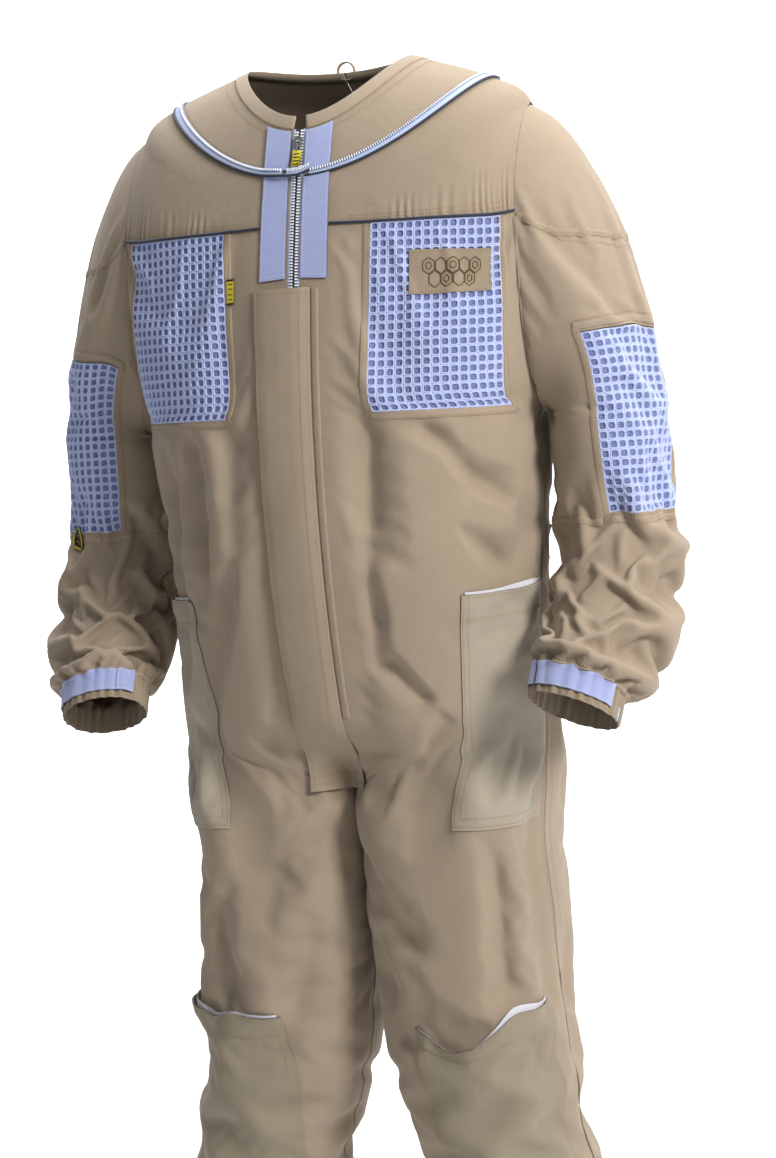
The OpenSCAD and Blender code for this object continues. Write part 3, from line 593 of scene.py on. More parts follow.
def lines_of(g, lo, hi, extra=()):
    k = [x for x in g if lo+1e-6 < x < hi-1e-6]
    return np.unique(np.array([lo, hi]+k+[e for e in extra if lo < e < hi]))

def cloth(G, al, vl, o=0., t=.9, holes=(), closed=False, wrap=None):
    """double cloth layer over grid lines al, vl (outer at offset o); returns P, F, N, uv, v"""
    A, V = np.meshgrid(al, vl); nv, nu = A.shape
    Pn = G.nor(A, V); base = G.at(A, V); uvc = G.uv(A, V)
    out = base+Pn*(o if np.ndim(o) == 0 else np.asarray(o)[..., None]); inn = out-Pn*t
    if np.ndim(o):
        gu_ = (np.roll(out, -1, 1)-np.roll(out, 1, 1)) if closed else np.gradient(out, axis=1)
        c_ = np.cross(np.gradient(out, axis=0), gu_); c_ /= np.maximum(np.linalg.norm(c_, axis=-1, keepdims=True), 1e-9); Pn = c_*np.sign(np.sum(c_*Pn, -1, keepdims=True))
    idx = np.arange(nv*nu).reshape(nv, nu); n = nv*nu
    i2 = np.roll(idx, -1, 1) if closed else None
    if closed: q = np.stack([idx[:-1], idx[1:], i2[1:], i2[:-1]], -1)
    else: q = np.stack([idx[:-1, :-1], idx[1:, :-1], idx[1:, 1:], idx[:-1, 1:]], -1)
    ac = (al+np.append(al[1:], 1.0))/2 if closed else (al[:-1]+al[1:])/2
    vc = (vl[:-1]+vl[1:])/2; AC, VC = np.meshgrid(ac, vc); keep = np.ones(AC.shape, bool)
    for h in holes: keep &= ~((AC > h[0]) & (AC < h[1]) & (VC > h[2]) & (VC < h[3]))
    q = q.reshape(-1, 4)[keep.ravel()]
    # edges used once make the rim
    e = np.concatenate([q[:, [0, 1]], q[:, [1, 2]], q[:, [2, 3]], q[:, [3, 0]]])
    key = np.sort(e, 1); k1 = key[:, 0]*(2*n)+key[:, 1]
    u, c = np.unique(k1, return_counts=True); single = np.isin(k1, u[c == 1]); r = e[single]
    rim = np.stack([r[:, 1], r[:, 0], r[:, 0]+n, r[:, 1]+n], -1)
    F = np.concatenate([q, q[:, ::-1]+n, rim])
    return np.concatenate([out.reshape(-1, 3), inn.reshape(-1, 3)]), F, np.concatenate([Pn.reshape(-1, 3), -Pn.reshape(-1, 3)]), np.concatenate([uvc.reshape(-1, 2)]*2), np.concatenate([G.pv(A, V).ravel()]*2)

def path(pts, n=None, per=400):
    """polyline in (a, v) made dense"""
    pts = np.asarray(pts, float); out = []
    for p, q in zip(pts[:-1], pts[1:]):
        k = max(2, int(np.hypot((q-p)[0]*600, (q-p)[1]*85)/3)); out.append(p+(q-p)*np.linspace(0, 1, k, endpoint=False)[:, None])
    out.append(pts[-1:]); return np.concatenate(out)

def along(G, pts, off=0., step=2.):
    """points, normals, tangents, v, at even spacing along a path lying on the cloth"""
    if callable(G): P, N = G(np.asarray(pts, float)); V = np.asarray(pts, float)[:, 1]
    else:
        q = path(pts); P = G.at(q[:, 0], q[:, 1]); N = G.nor(q[:, 0], q[:, 1]); V = G.pv(q[:, 0], q[:, 1]) if hasattr(G, 'pv') else q[:, 1]
    d = np.concatenate([[0], np.cumsum(np.linalg.norm(np.diff(P, axis=0), axis=1))])
    m = max(2, int(round(d[-1]/step))+1); s = np.linspace(0, d[-1], m)
    P = np.stack([np.interp(s, d, P[:, k]) for k in range(3)], -1); N = np.stack([np.interp(s, d, N[:, k]) for k in range(3)], -1)
    N /= np.linalg.norm(N, axis=1, keepdims=True); T = np.gradient(P, axis=0); T /= np.maximum(np.linalg.norm(T, axis=1, keepdims=True), 1e-9)
    return P+N*off, N, T, np.interp(s, d, V), s

def section(P, N, T, prof, closed_prof=True, caps=True):
    """sweeps a profile of (sideways, outwards) points along a path"""
    L = np.cross(N, T); prof = np.asarray(prof, float); m = len(prof)
    X = P[:, None]+L[:, None]*prof[None, :, 0, None]+N[:, None]*prof[None, :, 1, None]
    n = len(P); idx = np.arange(n*m).reshape(n, m); i2 = np.roll(idx, -1, 1)
    q = np.stack([idx[:-1], i2[:-1], i2[1:], idx[1:]], -1).reshape(-1, 4)
    F = [q]
    if caps:
        c = [(idx[0, 0], idx[0, k], idx[0, k+1])[::-1] for k in range(1, m-1)]+[(idx[-1, 0], idx[-1, k], idx[-1, k+1]) for k in range(1, m-1)]
        F.append(np.array(c))
    uv = np.stack([np.repeat(np.arange(n)*2., m), np.tile(np.cumsum(np.r_[0, np.linalg.norm(np.diff(prof, axis=0), axis=1)]), n)], -1)
    return X.reshape(-1, 3), F, uv

def circ(r, k=8, oy=0., sx=1.): return [(r*sx*math.cos(2*math.pi*i/k), oy+r*math.sin(2*math.pi*i/k)) for i in range(k)]
def ribbon(w, h, lo=-.2): e = min(.5, w*.2); return [(-w/2, lo), (-w/2, h*.6), (-w/2+e, h), (w/2-e, h), (w/2, h*.6), (w/2, lo)]

_G0 = None
def stitches(G, pts, off=.25, pitch=3.4, length=2.5, r=.36):
    """a row of separate thread stitches"""
    P, N, T, V, s = along(G, pts, off, pitch)
    if len(P) < 2: return None
    L = np.cross(N, T); h = length/2
    prof = [(-h, 0, -.25), (-h*.6, r, .5), (-h*.6, -r, .5), (-h*.6, 0, 1.), (h*.6, r, .5), (h*.6, -r, .5), (h*.6, 0, 1.), (h, 0, -.25)]
    F = np.array([(0, 1, 3), (0, 3, 2), (7, 6, 4), (7, 5, 6)]); Fq = np.array([(1, 4, 6, 3), (3, 6, 5, 2)])
    X = sum(V3[:, None]*np.array([q[k] for q in prof])[None, :, None]*(1 if k < 2 else r) for k, V3 in ((0, T), (1, L), (2, N)))+P[:, None]
    k = np.arange(len(P))[:, None, None]*8
    return X.reshape(-1, 3), [(Fq[None]+k).reshape(-1, 4), (F[None]+k).reshape(-1, 3)], np.repeat(s, 8)[:, None]*[1, 0], np.repeat(V, 8)

# ------------------------------------------------------------------ materials
def nt(name):
    m = bpy.data.materials.new(name); m.use_nodes = True; t = m.node_tree; t.nodes.clear()
    out = t.nodes.new("ShaderNodeOutputMaterial"); b = t.nodes.new("ShaderNodeBsdfPrincipled"); t.links.new(b.outputs[0], out.inputs[0])
    return m, t, b
def nd(t, kind, **kw):
    n = t.nodes.new(kind)
    for k, v in kw.items():
        if k.startswith("i_"):
            n.inputs[k[2:].replace("_", " ")].default_value = v
        else: setattr(n, k, v)
    return n
def srgb(r, g, b):
    f = lambda c: c/255/12.92 if c/255 <= .04045 else ((c/255+.055)/1.055)**2.4
    return (f(r), f(g), f(b), 1)
def mathn(t, op, a, b=None, c=None):
    n = t.nodes.new("ShaderNodeMath"); n.operation = op
    for i, x in enumerate((a, b, c)):
        if x is None: continue
        if isinstance(x, (int, float)): n.inputs[i].default_value = x
        else: t.links.new(x, n.inputs[i])
    return n.outputs[0]
def mixc(t, f, a, b, mode="MIX"):
    n = t.nodes.new("ShaderNodeMix"); n.data_type = "RGBA"; n.blend_type = mode
    for i, x in ((0, f), (6, a), (7, b)):
        if isinstance(x, (int, float, tuple)): n.inputs[i].default_value = x
        else: t.links.new(x, n.inputs[i])
    return n.outputs[2]

def twill(name, col, dark=.93, pitch=.9, rough=.86, sheen=.25, crease=.5, weave=.35, tint=None):
    m, t, b = nt(name)
    uv = nd(t, "ShaderNodeUVMap", uv_map="UVMap"); sep = nd(t, "ShaderNodeSeparateXYZ"); t.links.new(uv.outputs[0], sep.inputs[0])
    mm = lambda o: mathn(t, "MULTIPLY", o, 100.)
    X, Y = mm(sep.outputs[0]), mm(sep.outputs[1])
    dg = mathn(t, "ADD", X, mathn(t, "MULTIPLY", Y, .62))
    w1 = mathn(t, "SINE", mathn(t, "MULTIPLY", dg, 2*math.pi/pitch))
    w2 = mathn(t, "SINE", mathn(t, "MULTIPLY", Y, 2*math.pi/(pitch*.55)))
    wv = mathn(t, "ADD", mathn(t, "MULTIPLY", w1, .65), mathn(t, "MULTIPLY", w2, .3))
    tc = nd(t, "ShaderNodeTexCoord")
    def noise(scale, det=3, rg=.55, src=None, stretch=None, dist=0.):
        n = nd(t, "ShaderNodeTexNoise"); n.inputs["Scale"].default_value = scale; n.inputs["Detail"].default_value = det; n.inputs["Roughness"].default_value = rg; n.inputs["Distortion"].default_value = dist
        s = src or tc.outputs["Object"]
        if stretch:
            mp = nd(t, "ShaderNodeMapping"); mp.inputs["Scale"].default_value = stretch; t.links.new(s, mp.inputs[0]); s = mp.outputs[0]
        t.links.new(s, n.inputs["Vector"]); return n.outputs[0]
    big = noise(5, 4, .6); mid = noise(34, 4, .6); fine = noise(900, 2, .6); slub = noise(1, 3, .6, uv.outputs[0], (9, 160, 1))
    lin = srgb(*col)
    dk = tuple(c*dark for c in lin[:3])+(1,); lt = tuple(min(1, c*1.07) for c in lin[:3])+(1,)
    ramp = mathn(t, "ADD", mathn(t, "MULTIPLY", big, .5), mathn(t, "MULTIPLY", mid, .5))
    f = nd(t, "ShaderNodeMapRange"); f.inputs[1].default_value = .3; f.inputs[2].default_value = .7; t.links.new(ramp, f.inputs[0])
    c1 = mixc(t, f.outputs[0], dk, lt)
    c2 = mixc(t, mathn(t, "MULTIPLY", mathn(t, "ADD", wv, 1.), .10), c1, tuple(c*.62 for c in lin[:3])+(1,))
    c3 = mixc(t, mathn(t, "MULTIPLY", fine, .16), c2, tuple(min(1, c*1.5) for c in lin[:3])+(1,))
    c4 = mixc(t, mathn(t, "MULTIPLY", slub, .12), c3, dk)
    t.links.new(c4, b.inputs["Base Color"])
    b.inputs["Roughness"].default_value = rough; b.inputs["Specular IOR Level"].default_value = .25
    b.inputs["Sheen Weight"].default_value = sheen; b.inputs["Sheen Roughness"].default_value = .45
    b.inputs["Sheen Tint"].default_value = (1, .96, .9, 1)
    cr1 = noise(26, 5, .5, None, None, 1.2); cr2 = noise(60, 4, .55, None, (1, 1, .45), .6)
    rid = mathn(t, "ABSOLUTE", mathn(t, "SUBTRACT", cr1, .5)); rid2 = mathn(t, "ABSOLUTE", mathn(t, "SUBTRACT", cr2, .5))
    hgt = mathn(t, "ADD", mathn(t, "MULTIPLY", rid, 2.4*crease), mathn(t, "MULTIPLY", rid2, .9*crease))
    b1 = nd(t, "ShaderNodeBump"); b1.inputs["Strength"].default_value = .55; b1.inputs["Distance"].default_value = .004; t.links.new(hgt, b1.inputs["Height"])
    b2 = nd(t, "ShaderNodeBump"); b2.inputs["Strength"].default_value = weave; b2.inputs["Distance"].default_value = .00022
    t.links.new(mathn(t, "ADD", wv, mathn(t, "MULTIPLY", fine, 1.2)), b2.inputs["Height"]); t.links.new(b1.outputs[0], b2.inputs["Normal"])
    t.links.new(b2.outputs[0], b.inputs["Normal"])
    return m

def plain(name, col, rough=.7, metal=0., bump=.3, scale=900, var=.2, sheen=0., dist=.0002):
    m, t, b = nt(name); tc = nd(t, "ShaderNodeTexCoord")
    n = nd(t, "ShaderNodeTexNoise"); n.inputs["Scale"].default_value = scale; n.inputs["Detail"].default_value = 4; t.links.new(tc.outputs["Object"], n.inputs["Vector"])
    n2 = nd(t, "ShaderNodeTexNoise"); n2.inputs["Scale"].default_value = scale/14; n2.inputs["Detail"].default_value = 3; t.links.new(tc.outputs["Object"], n2.inputs["Vector"])
    lin = srgb(*col); dk = tuple(c*(1-var) for c in lin[:3])+(1,)
    f = mathn(t, "ADD", mathn(t, "MULTIPLY", n.outputs[0], .6), mathn(t, "MULTIPLY", n2.outputs[0], .4))
    mr = nd(t, "ShaderNodeMapRange"); mr.inputs[1].default_value = .35; mr.inputs[2].default_value = .65; t.links.new(f, mr.inputs[0])
    t.links.new(mixc(t, mr.outputs[0], dk, lin), b.inputs["Base Color"])
    rr = nd(t, "ShaderNodeMapRange"); rr.inputs[3].default_value = max(0, rough-.08); rr.inputs[4].default_value = min(1, rough+.08); t.links.new(n2.outputs[0], rr.inputs[0]); t.links.new(rr.outputs[0], b.inputs["Roughness"])
    b.inputs["Metallic"].default_value = metal; b.inputs["Sheen Weight"].default_value = sheen
    bp = nd(t, "ShaderNodeBump"); bp.inputs["Strength"].default_value = bump; bp.inputs["Distance"].default_value = dist; t.links.new(n.outputs[0], bp.inputs["Height"]); t.links.new(bp.outputs[0], b.inputs["Normal"])
    return m

M = {}
M["khaki"] = twill("khaki_twill", (155, 139, 120), crease=.16)
M["khaki2"] = twill("khaki_twill_band", (150, 134, 114), crease=.1, weave=.5)
M["loop"] = plain("loop_tape", (160, 170, 216), .95, bump=1., scale=1500, var=.10, sheen=.6, dist=.0009)
M["lattice"] = plain("mesh_knit", (178, 189, 228), .9, bump=.8, scale=1300, var=.12, sheen=.4, dist=.0005)
M["white"] = plain("zip_tape_white", (176, 192, 228), .8, bump=.6, scale=1800, var=.10, dist=.0003)
M["teeth"] = plain("zip_teeth_white", (236, 238, 244), .4, bump=.1, scale=700, var=.05)
M["navy"] = plain("piping_navy", (34, 40, 58), .75, bump=.6, scale=1500, var=.3, sheen=.2)
M["thread"] = plain("thread_khaki", (160, 134, 100), .7, bump=.3, scale=2500, var=.2)
M["threadw"] = plain("thread_white", (214, 210, 226), .7, bump=.3, scale=2500, var=.15)
M["metal"] = plain("nickel", (190, 190, 192), .32, 1., .12, 500, .15)
M["yellow"] = plain("woven_yellow", (206, 190, 40), .8, bump=.8, scale=1600, var=.25)
M["black"] = plain("woven_black", (26, 25, 24), .8, bump=.8, scale=1600, var=.3)
M["olive"] = plain("embroidery_olive", (92, 76, 40), .7, bump=.8, scale=1600, var=.3)
M["lining"] = twill("pocket_lining", (214, 212, 220), crease=.15, weave=.3)
def net(name):
    m, t, b = nt(name); uv = nd(t, "ShaderNodeUVMap", uv_map="UVMap")
    vo = nd(t, "ShaderNodeTexVoronoi"); vo.inputs["Scale"].default_value = 62.; t.links.new(uv.outputs[0], vo.inputs["Vector"]); vo.feature = "F1"; vo.inputs["Randomness"].default_value = .35
    mr = nd(t, "ShaderNodeMapRange"); mr.inputs[1].default_value = .25; mr.inputs[2].default_value = .55; t.links.new(vo.outputs[0], mr.inputs[0])
    t.links.new(mixc(t, mr.outputs[0], srgb(78, 86, 126), srgb(126, 137, 180)), b.inputs["Base Color"]); b.inputs["Roughness"].default_value = .9
    bp = nd(t, "ShaderNodeBump"); bp.inputs["Strength"].default_value = .8; bp.inputs["Distance"].default_value = .0006; t.links.new(vo.outputs[0], bp.inputs["Height"]); t.links.new(bp.outputs[0], b.inputs["Normal"])
    return m
M["net"] = net("spacer_net")

# ------------------------------------------------------------------ attachment
def set_w(o, w):
    o.data.attributes["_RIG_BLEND"].data.foreach_set("value", np.asarray(w, np.float32))
def attach(o, zone, side="left", V=None):
    s = -1 if side == "right" else 1
    if zone == "T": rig.ride(o, "torso")
    elif zone == "TH":
        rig.blend(o, "torso", "thigh_"+side, (0, 0, -.64), (0, 0, -.85))
        co = np.empty(len(o.data.vertices)*3); o.data.vertices.foreach_get("co", co); co = co.reshape(-1, 3)*1000
        st = 640+85*(1-sst(np.abs(co[:, 0]), 0, 80)); t = np.clip((-co[:, 2]-st)/(850-st), 0, 1); set_w(o, t*t*(3-2*t))
    elif zone == "SK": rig.blend(o, "thigh_"+side, "shin_"+side, (0, 0, -.945), (0, 0, -1.065))
    elif zone == "SU":
        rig.blend(o, "torso", "upper_arm_"+side, (s*.205, 0, -.1), (s*.205, 0, -.2))
        if V is None: raise ValueError(o.name)
        set_w(o, sst(V, -1, -.5))
    elif zone == "SF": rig.blend(o, "upper_arm_"+side, "forearm_"+side, (0, 0, -.408), (0, 0, -.488))
    else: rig.ride(o, zone)
    return o
def put(name, P, F, zone, side="left", mat=None, N=None, uv=None, V=None, slot="khaki", rep=(), smooth=True, flip=False):
    o = make(name, P, F, side, mat, N, uv, smooth, flip); attach(o, zone, side, V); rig.slot(o, slot)
    if rep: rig.replaces(o, *rep)
    return o
def put_cloth(name, G, al, vl, zone, side, mat, slot="khaki", rep=(), **k):
    P, F, N, uv, V = cloth(G, al, vl, **k)
    return put(name, P, F, zone, side, mat, N, uv, V, slot, rep)
class Batch:
    """many small swept parts gathered to one piece"""
    def __init__(s): s.p = []; s.v = []
    def sweep(s, G, pts, prof, off=0., step=2.5):
        P, N, T, V, _ = along(G, pts, off, step); q = section(P, N, T, prof); s.p.append(q); s.v.append(np.repeat(V, len(prof))); return s
    def stitch(s, G, pts, **k):
        q = stitches(G, pts, **k)
        if q is not None: s.p.append((q[0], q[1], q[2])); s.v.append(q[3])
        return s
    def raw(s, P, F, v): s.p.append((np.asarray(P), F)); s.v.append(np.full(len(P), v) if np.ndim(v) == 0 else v); return s
    def put(s, name, zone, side, mat, slot="khaki", rep=(), **k):
        P, F, U = join_parts(s.p); return put(name, P, F, zone, side, mat, None, U, np.concatenate(s.v), slot, rep, **k)

def offset_path(pts, da=0., dv=0.): return [(a+da, v+dv) for a, v in pts]

# ------------------------------------------------------------------ cloth panels
VS = 11.55      # hidden split of the trouser panel, inside the stiff part of the thigh
EL = 2.12       # elbow seam
SP = .05        # hidden split of the sleeve, inside its stiff part
ME = 2.0        # bottom of the sleeve mesh
MO = .43        # outer edge of the chest mesh
MU = {"left": (.015, .295), "right": (-.06, .235)}   # round the sleeve, mesh from and to
MA, MV = .122, 5.05   # chest mesh: inner edge, bottom
for s in SIDES:
    G, H = GB[s], GS[s]; L = s
    # yoke, front and back
    f = lines_of(G.av, 0, .5); b = lines_of(G.av, .5+1e-7, 1); b[0] = .5+1e-7
    parts = []
    for al, fr_ in ((np.linspace(0, .4999999, 260), 1), (np.linspace(.5000001, 1, 260), .6)):
        vl_ = np.unique(np.concatenate([np.linspace(1.1, 2.4, 22), np.linspace(2.4, 3.0, 16)])); A_, V_ = np.meshgrid(al, vl_)
        tuck = np.sin(2*np.pi*(A_*46+.5*np.sin(A_*31.)+.06*np.sin(V_*9)))*(.55+.45*np.sin(A_*67.+1.3))
        tk = fr_*.75*tuck*sst(V_, 2.35, 2.93)*sst(A_, .09, .16)*(1-sst(A_, .47, .5) if fr_ == 1 else 1.)*(1 if fr_ == 1 else sst(A_, .5, .53))*(1-.6*sst(V_, 2.95, 3.))
        P, F, N, uv, V = cloth(G, al, vl_, o=tk); parts.append((P, F, N, uv, V))
    P = np.concatenate([q[0] for q in parts]); F = np.concatenate([parts[0][1], parts[1][1]+len(parts[0][0])])
    put("yoke_cloth_"+s, P, F, "T", s, M["khaki"], np.concatenate([q[2] for q in parts]), np.concatenate([q[3] for q in parts]), None, "khaki", ["yoke_"+s])
    # front: yoke seam to mid thigh, with the chest opening
    put_cloth("front_cloth_"+s, G, lines_of(G.av, 0, .4999999, (MA, MO)), lines_of(G.vv, 3.0, VS, (MV,)), "TH", s, M["khaki"], rep=["front_panel_"+s, "hip_fabric_"+s, "thigh_panel_"+s], holes=[(MA, MO, 0, MV)])
    bl = np.concatenate([[.5000001], G.av[G.av > .5000001]])
    put_cloth("back_cloth_"+s, G, np.unique(np.append(bl, .72)), lines_of(G.vv, 3.0, VS, (3.3, 5.3)), "TH", s, M["khaki"], rep=["back_panel_"+s], holes=[(.72, 1.1, 3.3, 5.3)])
    # lower leg and hem band
    al = np.concatenate([G.av[G.av < .5], G.av[G.av > .5000001]]); al[-1] = 1.
    put_cloth("lower_leg_cloth_"+s, G, al, lines_of(G.vv, VS, 17.0), "SK", s, M["khaki"], rep=["knee_fabric_"+s, "shin_panel_"+s])
    # ruffled elastic hem
    av = np.linspace(0, 1, 241); vl = np.linspace(16.97, 18., 14); A, V = np.meshgrid(av, vl)
    rf = 1.3+1.5*np.cos(2*np.pi*34*A+.8*np.sin(2*np.pi*5*A))*np.sin(np.pi*np.clip((V-16.97)/1.03, 0, 1))**.5-1.2*np.cos(2*np.pi*(V-17)/.33)*.5
    put_cloth("ankle_band_"+s, G, av, vl, "SK", s, M["khaki2"], rep=["ankle_cuff_"+s], o=rf, t=1.6)
    # sleeve above and below the elbow seam; the outer opening takes the mesh
    al = H.av; u0, u1 = MU[s]; al2 = np.unique(np.concatenate([al, [u0 % 1., u1]])); hol = lambda a, b: [(u0, u1, a, b)]+([(u0+1, 2., a, b)] if u0 < 0 else [])
    put_cloth("upper_sleeve_cloth_"+s, H, al2, lines_of(H.vv, -1., SP, (MT,)), "SU", s, M["khaki"], rep=["upper_sleeve_"+s], holes=hol(MT, 9), closed=True)
    put_cloth("forearm_cloth_"+s, H, al2, lines_of(H.vv, SP, 6.12, (ME,)), "SF", s, M["khaki"], rep=["elbow_fabric_"+s, "lower_sleeve_"+s], holes=hol(-9, ME), closed=True)
    av = np.arange(0, 1, 1/240); vl = np.linspace(6.05, 7., 12); A, V = np.meshgrid(av, vl)
    rf = .9+1.2*np.cos(2*np.pi*30*A+.9*np.sin(2*np.pi*4*A))*(.4+.6*np.sin(np.pi*np.clip((V-6.05)/.95, 0, 1)))
    put_cloth("wrist_band_"+s, H, av, vl, "SF", s, M["khaki2"], rep=["wrist_cuff_"+s], o=rf, t=1.5, closed=True)

# ------------------------------------------------------------------ open square mesh
def lattice(G, a0, a1, v0, v1, pitch=8.9, hi=1.3, lo=.1):
    A, V = np.meshgrid(np.linspace(a0, a1, 80), np.linspace(v0, v1, 120)); P = G.at(A, V)
    dw = np.linalg.norm(np.diff(P, axis=1), axis=-1); dh = np.linalg.norm(np.diff(P, axis=0), axis=-1)
    nx, ny = int(round(np.median(dw.sum(1))/pitch)), int(round(np.median(dh.sum(0))/pitch))
    ca = np.concatenate([[0], np.cumsum(np.median(dw, 0))]); ca /= ca[-1]; cv = np.concatenate([[0], np.cumsum(np.median(dh, 1))]); cv /= cv[-1]
    fa = lambda t: np.interp(t, ca, A[0]); fv = lambda t: np.interp(t, cv, V[:, 0])
    th = np.arange(16)*2*np.pi/16; c, s_ = np.cos(th), np.sin(th)
    sq = .5/np.maximum(np.abs(c), np.abs(s_)); ro = 1/(np.abs(c)**5+np.abs(s_)**5)**.2
    ring = [(sq*c, sq*s_, lo+.45*hi), (ro*.435*c, ro*.435*s_, hi), (ro*.36*c, ro*.36*s_, hi*.8), (ro*.325*c, ro*.325*s_, lo-.5)]
    X = np.concatenate([r[0] for r in ring]); Y = np.concatenate([r[1] for r in ring]); Z = np.concatenate([np.full(16, r[2]) for r in ring])
    I, J = np.meshgrid(np.arange(nx), np.arange(ny)); I = I.ravel()[:, None]; J = J.ravel()[:, None]
    a = fa((I+.5+X[None])/nx)+0*J; v = fv((J+.5+Y[None])/ny)+0*I
    Pn = G.at(a, v, np.broadcast_to(Z[None], a.shape))
    uv = G.uv(a, v); i = np.arange(16); j = (i+1) % 16
    F = np.concatenate([np.stack([r*16+i, r*16+j, (r+1)*16+j, (r+1)*16+i], -1) for r in range(3)])
    return Pn.reshape(-1, 64, 3), F, uv.reshape(-1, 64, 2), v.reshape(-1, 64), G.pv(a, v).reshape(-1, 64), fv(np.arange(ny+1)/ny)
def mesh_panel(name, G, a0, a1, v0, v1, zones, side, node):
    """zones: [(zone, v from, v to)]"""
    P, F, uv, V, PV, lines = lattice(G, a0, a1, v0, v1)
    for n_, (zone, z0, z1) in enumerate(zones):
        z0 = lines[np.argmin(np.abs(lines-z0))]; z1 = lines[np.argmin(np.abs(lines-z1))]
        k = (V.mean(1) > z0) & (V.mean(1) < z1); m = int(k.sum()); tag = "" if n_ == 0 else "_low"
        put(name+"_grid"+tag, P[k].reshape(-1, 3), (F[None]+(np.arange(m)*64)[:, None, None]).reshape(-1, 4), zone, side, M["lattice"], None, uv[k].reshape(-1, 2), PV[k].ravel(), "mesh", [node] if node and n_ == 0 else ())
        put_cloth(name+"_net"+tag, G, np.linspace(a0, a1, 40), np.linspace(z0, z1, 40), zone, side, M["net"], "mesh", o=-.35, t=.6)
for s in SIDES:
    mesh_panel("chest_mesh_"+s, GB[s], MA+.001, MO-.001, 3.02, MV-.01, [("TH", 0, 9)], s, "chest_mesh_"+s)
    mesh_panel("back_mesh_"+s, GB[s], .7215, .9999, 3.31, 5.29, [("T", 0, 9)], s, "back_mesh" if s == "left" else None)
    mesh_panel("sleeve_mesh_"+s, GS[s], MU[s][0]+.0015, MU[s][1]-.0015, MT+.005, ME-.005, [("SU", -1, SP), ("SF", SP, 9)], s, "sleeve_mesh_"+s)

